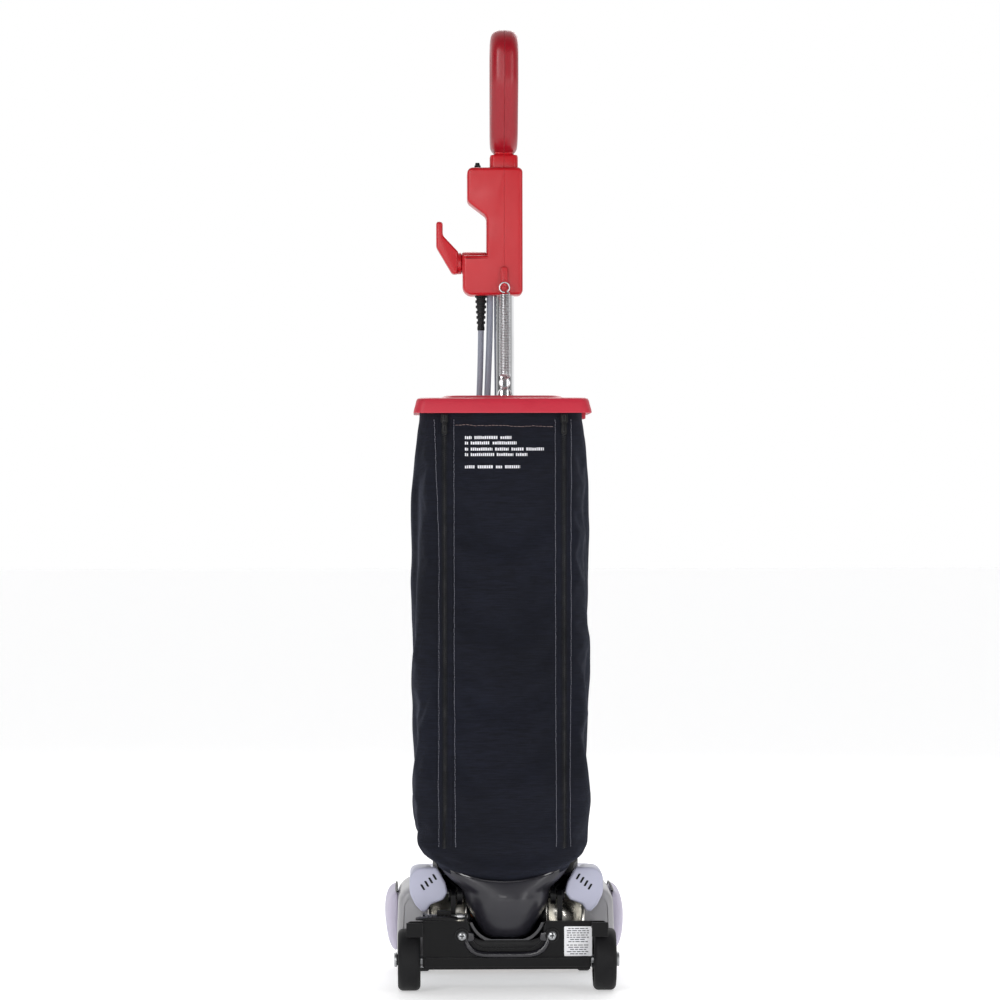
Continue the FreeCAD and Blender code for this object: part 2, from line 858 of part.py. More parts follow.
def make_ducts():
    suction = cut(
        "suction_whole",
        box("suction_outside", 76.3, 104, 2, 110, 60, 98),
        box("suction_inside", 78.3, 102, 4, 111, 62, 96),
        rod("suction_inlet", "X", (75, "motor_y", "motor_z"), 5, 17.9),
    )
    keep("suction_duct", suction)
    exhaust = cut(
        "exhaust_whole",
        box("exhaust_outside", -24, 74, -55, -22.3, 66, 96),
        box("exhaust_inside", -22, 72, -53, -24.3, 68, 94),
        box("exhaust_outlet", -22, 22, -56, -52, 68, 94),
        box("exhaust_inlet", 51, 71, -25, -22, 68, 94),
    )
    keep("exhaust_duct", exhaust)


def belt_outline(grow):
    """Loop round both pulleys: straight runs and two arcs, as a wire."""
    small = Vector(value("belt_place") - 5, value("motor_y"), value("motor_z"))
    large = Vector(value("belt_place") - 5, value("brush_y"), value("brush_z"))
    small_radius = value("motor_pulley") + grow
    large_radius = value("roll_pulley") + grow
    along = large - small
    direction = Vector(along).normalize()
    lean = math.asin((large_radius - small_radius) / along.Length)
    axis = Vector(1, 0, 0)
    upper = Rotation(axis, math.degrees(lean)).multVec(axis.cross(direction))
    lower = Rotation(axis, -math.degrees(lean)).multVec(axis.cross(direction) * -1)
    spots = [small + upper * small_radius, large + upper * large_radius,
             large + lower * large_radius, small + lower * small_radius]
    return Part.Wire([
        Part.LineSegment(spots[0], spots[1]).toShape(),
        Part.Arc(spots[1], large + direction * large_radius, spots[2]).toShape(),
        Part.LineSegment(spots[2], spots[3]).toShape(),
        Part.Arc(spots[3], small - direction * small_radius, spots[0]).toShape(),
    ])


def make_belt():
    face = Part.Face(belt_outline(1.6)).cut(Part.Face(belt_outline(0.1)))
    belt = doc.addObject("Part::Feature", "belt")
    belt.Shape = face.extrude(Vector(10, 0, 0))
    belt.Placement = Placement()
    keep("drive_belt", belt)


# --- handle ------------------------------------------------------------------------------


def make_bail():
    """Forked casting from the two trunnions up to the socket of the handle tube."""
    fork = pad(
        "bail_fork",
        "XY",
        "-5",
        "5",
        [
            ("54.5", "-6"), ("61", "-6"), ("62", "12"), ("70", "24"), ("84", "50"), ("86.5", "64"),
            ("91", "72"), ("91", "86"), ("60", "100"), ("-60", "100"), ("-91", "86"), ("-91", "72"),
            ("-86.5", "64"), ("-84", "50"), ("-70", "24"), ("-62", "12"), ("-61", "-6"), ("-54.5", "-6"),
            ("-55.5", "12"), ("-62", "24"), ("-76", "50"), ("-80", "64"), ("-84", "70"), ("-84", "80"),
            ("-56", "88"), ("56", "88"), ("84", "80"), ("84", "70"), ("80", "64"), ("76", "50"),
            ("62", "24"), ("55.5", "12"),
        ],
    )
    slope = math.degrees(math.atan2(45, value("tube_y - pivot_y")))
    fork.Placement = Placement(Vector(), Rotation(Vector(1, 0, 0), slope))
    drive(fork, ".Placement.Base.y", "pivot_y")
    drive(fork, ".Placement.Base.z", "pivot_z")
    hubs = [
        rod("bail_hub_left", "X", (-61, "pivot_y", "pivot_z"), 6.5, 11),
        rod("bail_hub_right", "X", (54.5, "pivot_y", "pivot_z"), 6.5, 11),
    ]
    socket = rod("bail_socket", "Z", (0, "tube_y", 150), 40, 16.2)
    bores = [
        rod("bail_pin_bore", "X", (-62, "pivot_y", "pivot_z"), 124, "pin_radius + 0.06"),
        rod("bail_tube_bore", "Z", (0, "tube_y", "tube_foot"), 30, "tube_radius"),
    ]
    keep("handle_bail", cut("bail_cut", fuse("bail_blank", fork, socket, *hubs), *bores))
    tube_length = "tube_head - tube_foot"
    place = (0, "tube_y", "tube_foot")
    keep("handle_tube", ring("tube", "Z", place, tube_length, "tube_radius", "tube_radius - tube_wall"))


def mouth(name, lift, half, top):
    """All that lies above the curved edge where the bag meets the boot."""
    return pad(
        name,
        "XZ",
        "-200",
        "0",
        [
            ("-84", f"rim_tip + {lift}"),
            ("84", f"rim_tip + {lift}", "rim_arc", "left"),
            (half, f"rim_tip + {lift} + ({half} - 84) * 0.25"),
            (half, top),
            (f"-({half})", top),
            (f"-({half})", f"rim_tip + {lift} + ({half} - 84) * 0.25"),
        ],
    )


def boot_solid(name, inset):
    """Drum and funnel; each section of the funnel is (z, half width, front, corner radius)."""
    sections = [
        ("112", "42", "-66", "6"), ("126", "53.5", "-60", "8"),
        ("136", "66", "-56", "9"), ("160", "rim_half", "-47", "12"),
    ]
    funnel = loft(
        name + "_funnel",
        *[
            (z, f"-{half} + {inset}", f"{half} - {inset}", f"-137 + {inset}", f"{front} - {inset}", corner)
            for z, half, front, corner in sections
        ],
    )
    return fuse(name, drum(name + "_drum", f"-{inset}"), funnel)


def make_boot():
    """Hollow moulding that turns with the handle and carries the bag."""
    opening = box("boot_opening", -20, 20, "pivot_y", -50, 55, 95)
    outside = boot_solid("boot_outside", "0")
    inside = boot_solid("boot_inside", "shell")
    above = mouth("boot_mouth", "0", "90", "200")
    keep("bag_boot", cut("boot_cut", outside, inside, above, opening))
    flange = box("spout_flange", -52, 52, -132, -60, 138.5, 141.5)
    pipe = rod("spout_pipe", "Z", (0, -95, 140), 42, 20)
    bore = rod("spout_bore", "Z", (0, -95, 130), 60, 17.5)
    keep("bag_spout", cut("spout_cut", fuse("spout_blank", flange, pipe), bore))


def bag_solid(name, inset):
    sections = [
        ("130", "88", "-141", "bag_front - 1"),
        ("168", "99", "-141", "bag_front"),
        ("262", "105", "bag_back", "bag_front"),
        ("450", "bag_half", "bag_back", "bag_front"),
        (f"bag_top - {inset}", "103", "bag_back", "bag_front - 5"),
    ]
    return loft(
        name,
        *[
            (
                z, f"-({half}) + {inset}", f"{half} - {inset}",
                f"{back} + {inset}", f"{front} - {inset}", "20",
            )
            for z, half, back, front in sections
        ],
    )


def make_bag():
    """Cloth bag, open below onto the boot, with the paper bag inside it."""
    cloth_shell = cut("bag_shell", bag_solid("bag_outside", "0"), bag_solid("bag_inside", "cloth"))
    keep("cloth_bag", common("bag_whole", cloth_shell, mouth("bag_mouth", "1", "130", "800")))
    sack = cut(
        "sack",
        loft(
            "sack_outside",
            ("190", "-80", "80", "-136", "-62", "18"),
            ("290", "-88", "88", "-168", "-60", "18"),
            ("690", "-88", "88", "-168", "-60", "18"),
        ),
        loft(
            "sack_inside",
            ("191", "-79", "79", "-135", "-63", "17"),
            ("290", "-87", "87", "-167", "-61", "17"),
            ("689", "-87", "87", "-167", "-61", "17"),
        ),
        rod("sack_mouth", "Z", (0, -95, 188), 6, 20),
    )
    collar = cut(
        "collar", box("collar_card", -45, 45, -135, -56, 184, 187),
        rod("collar_hole", "Z", (0, -95, 180), 10, 20),
    )
    keep("paper_bag", group("paper", sack, collar))
    tapes = []
    for side, x in (("left", "-zip_place"), ("right", "zip_place")):
        tapes.append(
            box(f"tape_{side}", f"{x} - 5", f"{x} + 5", "bag_back - 1.4", "bag_back - 0.2", 265, 710),
        )
        runner = box(
            f"runner_{side}", f"{x} - 4.5", f"{x} + 4.5", "bag_back - 6", "bag_back - 1.7", 698, 710,
        )
        pull = box(f"pull_{side}", f"{x} - 3.5", f"{x} + 3.5", "bag_back - 5.5", "bag_back - 3.5", 685, 699)
        keep(f"zipper_slider_{side}", fuse(f"slider_{side}", runner, pull))
    keep("zipper_tapes", group("tapes", *tapes))


def make_lid():
    """Rigid top of the bag, which hangs from the handle by a long spring."""
    cap = loft(
        "lid_cap",
        ("lid_low", "-lid_half", "lid_half", "lid_back", "bag_front", "22"),
        ("lid_top", "-lid_half + 3", "lid_half - 3", "lid_back + 3", "bag_front - 2", "20"),
    )
    panel = pad("lid_panel", "XY", "lid_top - 1", "lid_top + 3", rounded("-70", "70", "-176", "-58", "16"))
    hollow = pad(
        "lid_hollow", "XY", "lid_low - 1", "lid_top - 3",
        rounded("-lid_half + 3.5", "lid_half - 3.5", "lid_back + 3.5", "bag_front - 2.5", "19"),
    )
    keep("bag_lid", cut("lid_cut", fuse("lid_blank", cap, panel), hollow))
    top = value("lid_top") + 3
    hang = value("hang_y")
    staple = cord(
        "staple",
        [(0, hang - 6, top), (0, hang - 6, top + 15), (0, hang + 6, top + 15), (0, hang + 6, top)],
        1.2,
    )
    keep("lid_staple", staple)
    coil = ring("spring_coil", "Z", (0, "hang_y", 758), 106, 7.5, 5.5)
    ends = [
        torus("spring_foot", "Y", (0, "hang_y", 751.5), 6, 1),
        torus("spring_head", "Y", (0, "hang_y", 871), 6, 1),
    ]
    keep("support_spring", fuse("spring_whole", coil, *ends))
    strap = box("strap_tab", -4, 4, -56, "housing_back - 0.3", 868, 897)
    peg = rod("strap_peg", "Y", (0, -67, 874.3), 12, 1.5)
    keep("spring_strap", fuse("strap_whole", strap, peg))


def grip_outline():
    return [
        ("-45", "housing_top - 1"), ("-9", "housing_top - 1"), ("-9", "housing_top + 17"),
        ("12", "1085", "45", "left"), ("12", "grip_top - 45"), ("-33", "grip_top", "45", "left"),
        ("-55", "grip_top"), ("-100", "grip_top - 45", "45", "left"), ("-100", "1085"),
        ("-55", "1040", "45", "left"), ("-45", "1040"),
    ]


def make_grip(side):
    """Half of the D-shaped grip."""
    low, high = ("-grip_half", "-0.1") if side == "left" else ("0.1", "grip_half")
    hole = rounded("-74", "-14", "1068", "grip_top - 26", "26")
    body = pad(f"grip_{side}", "YZ", low, high, grip_outline(), hole)
    flat = value("grip_half")
    outer_edges = lambda b: b.XLength < 0.01 and abs(abs(b.XMin) - flat) < 0.01 and b.ZMin > 1024
    return round_edges(body, "8", outer_edges)


def make_housing():
    """Switch housing and grip, moulded as a left and a right shell."""
    left = pad(
        "housing_left",
        "XZ",
        "housing_back",
        "housing_front",
        [
            ("-0.1", "housing_low"), ("-0.1", "housing_top"), ("-46", "housing_top"), ("-46", "979"),
            ("-22", "960"), ("-22", "917.5"), ("-52", "905"), ("-52", "housing_low + 19"),
            ("-33", "housing_low", "19", "left"),
        ],
    )
    right = pad(
        "housing_right",
        "XZ",
        "housing_back",
        "housing_front",
        [
            ("0.1", "housing_low"), ("18", "housing_low"), ("23", "housing_low + 5", "5", "left"),
            ("23", "housing_top"), ("0.1", "housing_top"),
        ],
    )
    upright = lambda b: b.ZLength > 30 and b.XLength < 0.01 and b.YLength < 0.01 and abs(b.XMin) > 1
    round_edges(left, "5", upright)
    round_edges(right, "5", upright)
    tube_bore = rod(
        "housing_bore", "Z", (0, "tube_y", "housing_low - 1"),
        "tube_head - housing_low + 1.5", "tube_radius",
    )
    peg = rod("hook_peg", "X", (-64, "tube_y", "hook_z"), 13, 4)
    cavities = [
        box("switch_cavity", -43, -15, -46, -8, 984, 1018),
        box("switch_slot", -37, -29, -38, -14, 1017, "housing_top + 1"),
        box("cord_cavity", -40, -13.5, -44, -10, 866, 898),
        rod("relief_hole", "Z", ("relief_x", "tube_y", "housing_low - 1"), 6, 5),
        rod("lead_hole", "Z", (-17.6, "tube_y", "housing_low - 1"), 6, 4.3),
    ]
    left_whole = fuse("left_blank", left, make_grip("left"), peg)
    keep("handle_shell_left", cut("left_cut", left_whole, tube_bore, *cavities))
    right_whole = fuse("right_blank", right, make_grip("right"))
    bore_again = rod(
        "housing_bore_right", "Z", (0, "tube_y", "housing_low - 1"),
        "tube_head - housing_low + 1.5", "tube_radius",
    )
    keep("handle_shell_right", cut("right_cut", right_whole, bore_again))
    keep("switch_module", box("switch_body", -42, -18, -40, -14, 988, 1015))
    keep("power_switch", box("switch_nub", -36.6, -29.4, -34, -26, 1015.6, 1029))


def make_hooks():
    blade = pad(
        "hook_blade",
        "XZ",
        "tube_y - 13",
        "tube_y + 13",
        [
            ("-57", "889"), ("-57", "917"), ("-77", "938"), ("-77", "955"),
            ("-85", "955"), ("-85", "924"), ("-65", "889"),
        ],
    )
    collar = rod("hook_collar", "X", (-57, "tube_y", "hook_z"), 4.5, 13.5)
    bore = rod("hook_bore", "X", (-65, "tube_y", "hook_z"), 20, 4.05)
    keep("upper_cord_hook", cut("hook_cut", fuse("hook_blank", blade, collar), bore))
    clamp = rod("clamp_band", "Z", (0, "tube_y", 380), 24, 17)
    arm = box("clamp_arm", -8, 8, -14, 47, 388, 398)
    tip = box("clamp_tip", -8, 8, 42, 47, 390, 425)
    bore = rod("clamp_bore", "Z", (0, "tube_y", 379), 26, "tube_radius")
    keep("lower_cord_hook", cut("clamp_cut", fuse("clamp_blank", clamp, arm, tip), bore))


def make_cords():
    tube_y = value("tube_y")
    relief_x = value("relief_x")
    relief = turned(
        "relief_body",
        "Z",
        ("relief_x", "tube_y", 0),
        [
            ("0", "relief_end"), ("4.6", "relief_end"), ("6.2", "855"), ("6.2", "housing_low - 0.2"),
            ("4.9", "housing_low - 0.2"), ("4.9", "866.2"), ("6.5", "866.2"), ("6.5", "869"), ("0", "869"),
        ],
    )
    keep("strain_relief", relief)
    route = [
        (relief_x, tube_y, value("relief_end")),
        (relief_x - 0.6, tube_y, 775),
        (relief_x - 2.6, tube_y + 0.4, 728),
        (relief_x - 4.2, tube_y + 0.2, 680),
        (relief_x - 5.4, tube_y - 0.4, 630),
        (relief_x - 8, tube_y + 1, 582),
        (relief_x - 14, tube_y + 5, 535),
        (relief_x - 24, tube_y + 13, 490),
        (relief_x - 37, tube_y + 23, 450),
        (relief_x - 49, tube_y + 32, 414),
        (relief_x - 55, tube_y + 36, 383),
    ]
    keep("power_cord", cord("cord_run", route, value("cord_radius")))
    coil = turned(
        "coil_body",
        "Y",
        (0, 0, "coil_z"),
        [
            ("coil_inner", "coil_back"), ("coil_outer - 8", "coil_back"),
            ("coil_outer", "coil_back + 8", "8", "left"),
            ("coil_outer", "coil_front - 8"),
            ("coil_outer - 8", "coil_front", "8", "left"), ("coil_inner", "coil_front"),
        ],
    )
    keep("cord_coil", coil)
    tail = [(-84.5, 31, 322), (-85.6, 31, 296), (-87.5, 31, 270)]
    keep("cord_tail", cord("tail_run", tail, value("cord_radius")))
    plug = turned(
        "plug_grip",
        "Z",
        (-87.5, 31, 0),
        [
            ("0", "230"), ("12", "230"), ("13", "236"),
            ("12", "250"), ("8", "258"), ("6", "270"), ("0", "270"),
        ],
    )
    keep("plug_body", plug)
    pins = [
        box("plug_line", -94, -92.5, 28, 34, 214, 230),
        box("plug_neutral", -82.5, -81, 28, 34, 214, 230),
        rod("plug_earth", "Z", (-87.5, 36, 212), 18, 2.3),
    ]
    keep("plug_pins", group("pins_of_plug", *pins))
    lead_route = [
        (-17.6, tube_y, 866),
        (-17.8, tube_y, 820),
        (-19.6, tube_y, 775),
        (-21.6, tube_y + 0.2, 722),
        (-22.3, tube_y, 650),
        (-22.8, tube_y - 0.3, 560),
        (-22.3, tube_y - 0.1, 460),
        (-22.4, tube_y + 0.3, 360),
        (-22.8, tube_y, 270),
        (-24, tube_y, 215),
        (-24.2, tube_y, 172),
    ]
    keep("motor_lead", cord("lead_run", lead_route, value("lead_radius")))
    clips = []
    for number, height in enumerate((300, 520, 640)):
        band = rod(f"clip_band_{number}", "Z", (0, "tube_y", height), 7, 14.3)
        loop = rod(f"clip_loop_{number}", "Z", (-22.4, "tube_y", height), 7, 6.2)
        bore = rod(f"clip_bore_{number}", "Z", (0, "tube_y", height - 1), 9, "tube_radius")
        eye = rod(f"clip_eye_{number}", "Z", (-22.4, "tube_y", height - 1), 9, 4.7)
        clips.append(cut(f"clip_{number}", fuse(f"clip_blank_{number}", band, loop), bore, eye))
    keep("lead_clips", group("clips", *clips))


def check_and_write():
    """Stop on any failed object or bad shape, then write one STEP file for each node."""
    doc.recompute()
    failed = [obj.Label for obj in doc.Objects if "Invalid" in obj.State or "Error" in obj.State]
    if failed:
        raise RuntimeError(f"failed objects: {failed}")
    for obj in nodes:
        shape = obj.Shape
        if shape.isNull() or not shape.isValid() or not shape.Solids:
            raise RuntimeError(f"{obj.Label} has no valid shape")
        if min(solid.Volume for solid in shape.Solids) <= 0:
            raise RuntimeError(f"{obj.Label} has an empty solid")
    os.makedirs("parts", exist_ok=True)
    for obj in nodes:
        obj.Shape.exportStep(f"parts/{obj.Label}.step")
    print(f"{len(nodes)} nodes written")


make_casting()
make_hood()
make_bumper()
make_bottom_plate()
make_rear_chassis()
make_rear_plate()
make_pedal()
make_cradle()
make_wheels()
make_carriage()
make_brush_roll()
make_motor()
make_ducts()
make_belt()
make_bail()
make_boot()
make_bag()
make_lid()
make_housing()
make_hooks()
make_cords()
check_and_write()
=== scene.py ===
"""Looks of the upright vacuum cleaner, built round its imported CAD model.

Pieces are worked out in millimetres in the model's own frame: +X right, +Y towards the nozzle,
+Z up, origin on the floor under the middle of the machine.
"""
import math
import random

import bmesh
import bpy
from mathutils import Matrix, Vector, noise
from mathutils.bvhtree import BVHTree


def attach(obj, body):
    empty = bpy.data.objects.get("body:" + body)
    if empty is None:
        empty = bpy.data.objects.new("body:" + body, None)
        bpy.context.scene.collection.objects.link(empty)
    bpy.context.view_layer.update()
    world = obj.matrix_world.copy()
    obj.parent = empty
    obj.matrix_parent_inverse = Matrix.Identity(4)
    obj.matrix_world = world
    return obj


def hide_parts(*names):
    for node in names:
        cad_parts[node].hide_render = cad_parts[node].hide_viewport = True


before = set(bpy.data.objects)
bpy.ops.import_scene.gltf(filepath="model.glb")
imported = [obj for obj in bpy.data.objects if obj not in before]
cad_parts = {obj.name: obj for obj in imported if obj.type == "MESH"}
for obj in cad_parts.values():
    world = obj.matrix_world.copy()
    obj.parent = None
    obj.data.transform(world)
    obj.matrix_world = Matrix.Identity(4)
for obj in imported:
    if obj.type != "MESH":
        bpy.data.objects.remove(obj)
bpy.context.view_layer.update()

MM = 0.001
PIVOT = (-110.0, 115.0)  # recline axis, as y and z
SCREW_HEIGHT = 68.4
TUBE_Y = -27.0
SWAY = -7.0  # the bag and its lid hang a little to the left
GROOVE = 0.4  # along the joint of a two-part moulding
WELD_DISTANCE = 2e-6  # metres
scene = bpy.context.scene
draws = random.Random(7)
HANDS = (("left", -1), ("right", 1))


def place_object(name, data):
    made = bpy.data.objects.new(name, data)
    scene.collection.objects.link(made)
    return made


# --- camera, light and floor --------------------------------------------------------------


def make_camera():
    data = bpy.data.cameras.new("view")
    data.sensor_width = 36
    data.lens = 142.9
    data.clip_end = 50
    camera = place_object("view", data)
    heading = Matrix.Rotation(math.radians(-1.17), 4, "Z")
    level = Matrix.Rotation(math.radians(90), 4, "X")
    roll = Matrix.Rotation(math.radians(-0.1), 4, "Z")
    camera.matrix_world = Matrix.Translation((-0.1075, -5.027, 0.605)) @ heading @ level @ roll
    scene.camera = camera


def soft_box(name, place, target, width, height, watts):
    data = bpy.data.lights.new(name, "AREA")
    data.shape = "RECTANGLE"
    data.size = width
    data.size_y = height
    data.energy = watts
    light = place_object(name, data)
    light.location = place
    light.rotation_euler = (Vector(target) - Vector(place)).to_track_quat("-Z", "Y").to_euler()


def make_studio():
    scene.view_settings.view_transform = "Standard"
    world = bpy.data.worlds.new("studio")
    scene.world = world
    world.use_nodes = True
    tree = world.node_tree
    coordinates = tree.nodes.new("ShaderNodeTexCoord")
    split_up = tree.nodes.new("ShaderNodeSeparateXYZ")
    ramp = tree.nodes.new("ShaderNodeMapRange")
    tree.links.new(coordinates.outputs["Generated"], split_up.inputs[0])
    tree.links.new(split_up.outputs["Y"], ramp.inputs["Value"])
    tree.links.new(ramp.outputs[0], tree.nodes["Background"].inputs["Strength"])
    tree.nodes["Background"].inputs["Color"].default_value = (1, 1, 1, 1)
    for key, level in (("From Min", -0.35), ("From Max", 0.45), ("To Min", 0.14), ("To Max", 1.0)):
        ramp.inputs[key].default_value = level
    soft_box("key", (-1.8, -3.0, 1.7), (0, 0, 0.6), 0.9, 2.2, 42)
    soft_box("fill", (2.1, -2.6, 1.0), (0, 0, 0.5), 0.7, 2.2, 22)
    soft_box("front", (-0.3, -4.6, 1.5), (0, 0, 0.6), 0.7, 0.7, 15)
    soft_box("back", (0.6, 2.8, 2.4), (0, 0, 0.4), 2.4, 1.6, 30)
    soft_box("low", (-0.2, -3.4, 0.25), (0, 0, 0.1), 1.6, 0.3, 5)
    mesh = bpy.data.meshes.new("floor")
    mesh.from_pydata([(-30, -30, 0), (30, -30, 0), (30, 30, 0), (-30, 30, 0)], [], [(0, 1, 2, 3)])
    floor = place_object("floor", mesh)
    paint = plastic("floor_paint", "f4f4f5", 0.6, grain=60, bump=0.02, vary=0.01, edge_highlight=0)
    shader = paint.node_tree.nodes["Principled BSDF"]
    shader.inputs["Emission Color"].default_value = (1, 1, 1, 1)
    shader.inputs["Emission Strength"].default_value = 0.42
    floor.data.materials.append(paint)


# --- materials ------------------------------------------------------------------------------


def linear(code):
    """A colour written as six hexadecimal digits, as linear values."""
    parts = [int(code[i:i + 2], 16) / 255 for i in (0, 2, 4)]
    return [p / 12.92 if p <= 0.04045 else ((p + 0.055) / 1.055) ** 2.4 for p in parts] + [1]


class Finish:
    """A material's node tree with short calls to add and join nodes."""

    def __init__(self, name):
        self.material = bpy.data.materials.new(name)
        self.material.use_nodes = True
        self.tree = self.material.node_tree
        self.shader = self.tree.nodes["Principled BSDF"]
        self.place = self.add("TexCoord").outputs["Object"]

    def add(self, kind, inputs=None, **settings):
        made = self.tree.nodes.new("ShaderNode" + kind)
        for key, setting in settings.items():
            setattr(made, key, setting)
        for key, given in (inputs or {}).items():
            self.give(made.inputs[key], given)
        return made

    def give(self, socket, given):
        if isinstance(given, bpy.types.NodeSocket):
            self.tree.links.new(given, socket)
        else:
            socket.default_value = given

    def set(self, **values):
        for key, given in values.items():
            self.give(self.shader.inputs[key.replace("_", " ")], given)

    def maths(self, operation, *values):
        made = self.add("Math", operation=operation)
        for socket, given in zip(made.inputs, values):
            self.give(socket, given)
        return made.outputs[0]

    def noise(self, scale, detail=2, rough=0.5, stretch=None):
        place = self.place
        if stretch:
            place = self.add("Mapping", {"Vector": place, "Scale": stretch}).outputs[0]
        inputs = {"Vector": place, "Scale": scale, "Detail": detail, "Roughness": rough}
        return self.add("TexNoise", inputs).outputs[0]

    def spread(self, value, low, high):
        """A 0 to 1 value spread over another range."""
        inputs = {"Value": value, "From Min": 0.3, "From Max": 0.7, "To Min": low, "To Max": high}
        return self.add("MapRange", inputs).outputs[0]

    def mix(self, share, first, second):
        made = self.add("Mix", data_type="RGBA")
        for socket, given in ((made.inputs[0], share), (made.inputs[6], first), (made.inputs[7], second)):
            self.give(socket, given)
        return made.outputs[2]

    def bump(self, *layers):
        """Layers of (height, depth in millimetres), one over the other."""
        normal = None
        for height, depth in layers:
            made = self.add("Bump", {"Height": height, "Strength": 1.0, "Distance": depth * MM})
            if normal:
                self.give(made.inputs["Normal"], normal)
            normal = made.outputs[0]
        self.set(Normal=normal)

    def edges(self, radius):
        """About 1 on a sharp edge and 0 on a flat face."""
        soft = self.add("Bevel", {"Radius": radius * MM}, samples=4).outputs[0]
        plain = self.add("NewGeometry").outputs["Normal"]
        turn = self.add("VectorMath", {0: soft, 1: plain}, operation="DOT_PRODUCT").outputs["Value"]
        inputs = {"Value": turn, "From Min": 0.995, "From Max": 0.85, "To Min": 0.0, "To Max": 1.0}
        return self.add("MapRange", inputs).outputs[0]


def shaded(code, factor):
    return [min(1, c * factor) for c in linear(code)[:3]] + [1]


def plastic(name, code, rough, grain=900, bump=0.03, vary=0.08, edge_highlight=0.25, coat=0.0, shine=0.5):
    """Moulded plastic, rubber or paint with fine grain, uneven gloss and a painted highlight along its
    edges.
    """
    f = Finish(name)
    blotch = f.noise(9, 3)
    fine = f.noise(grain, 2)
    colour = f.mix(f.spread(blotch, 0, 1), shaded(code, 1 - vary), shaded(code, 1 + vary))
    # Painted highlight: edges are lightened in patches, standing in for light caught along them.
    if edge_highlight:
        highlight_mask = f.maths("MULTIPLY", f.edges(1.2), f.spread(f.noise(70, 4), 0.2 * edge_highlight, edge_highlight))
        colour = f.mix(highlight_mask, colour, [0.5 + 0.5 * c for c in linear(code)[:3]] + [1])
    gloss = f.spread(f.noise(40, 4), rough * 0.85, min(1, rough * 1.2))
    f.set(
        Base_Color=colour, Roughness=gloss, Coat_Weight=coat,
        Coat_Roughness=0.04, Specular_IOR_Level=shine,
    )
    f.bump((fine, bump), (f.noise(30, 2), bump))
    return f.material


def metal(name, code, rough, drawn=None, bump=0.01, cast=0.0):
    """Bare or plated metal; drawn is the stretch of its fine lines, cast its sand grain."""
    f = Finish(name)
    smudge = f.noise(14, 4, 0.6)
    colour = f.mix(f.spread(smudge, 0, 1), shaded(code, 0.9), shaded(code, 1.06))
    gloss = f.spread(f.noise(35, 5, 0.65), rough * 0.7, rough * 1.5)
    f.set(Base_Color=colour, Metallic=1.0, Roughness=gloss)
    f.bump((f.noise(700, 2, stretch=drawn), bump), (f.noise(260, 3), cast))
    return f.material


def woven(name, dark, light, rib=1.3):
    """Heavy woven cloth with level ribs of uneven strength and a fine crossing thread."""
    f = Finish(name)
    parts = f.add("SeparateXYZ", {"Vector": f.place})
    across = f.maths("ADD", parts.outputs["X"], parts.outputs["Y"])
    wobble = f.spread(f.noise(60, 2), -0.25, 0.25)

    def threads(along, pitch):
        turns = f.maths("MULTIPLY", along, 2 * math.pi / (pitch * MM))
        return f.maths("MULTIPLY_ADD", f.maths("SINE", f.maths("ADD", turns, wobble)), 0.5, 0.5)

    ribs = threads(parts.outputs["Z"], rib)
    crossing = threads(across, 0.75)
    weave = f.maths("MULTIPLY", ribs, crossing)
    slub = f.spread(f.noise(420, 3, 0.6, stretch=(0.12, 0.12, 1.6)), 0, 1)
    patch = f.spread(f.noise(6, 3), 0, 0.5)
    share = f.maths("MULTIPLY", f.maths("ADD", weave, slub), f.maths("ADD", 0.35, patch))
    f.set(
        Base_Color=f.mix(share, linear(dark), linear(light)), Roughness=0.88, Specular_IOR_Level=0.25,
        Sheen_Weight=0.2, Sheen_Roughness=0.4, Sheen_Tint=linear("8f98b8"),
    )
    f.bump((ribs, 0.22), (crossing, 0.1), (slub, 0.15), (f.noise(25, 3), 0.6))
    return f.material


def strands(name, first, second, scale, stretch, rough=0.7, depth=0.3):
    """Fibres, wood grain or paper: streaks of two tones."""
    f = Finish(name)
    streak = f.noise(scale, 5, 0.6, stretch=stretch)
    f.set(Base_Color=f.mix(f.spread(streak, 0, 1), linear(first), linear(second)), Roughness=rough)
    f.bump((streak, depth), (f.noise(600, 2), 0.05))
    return f.material


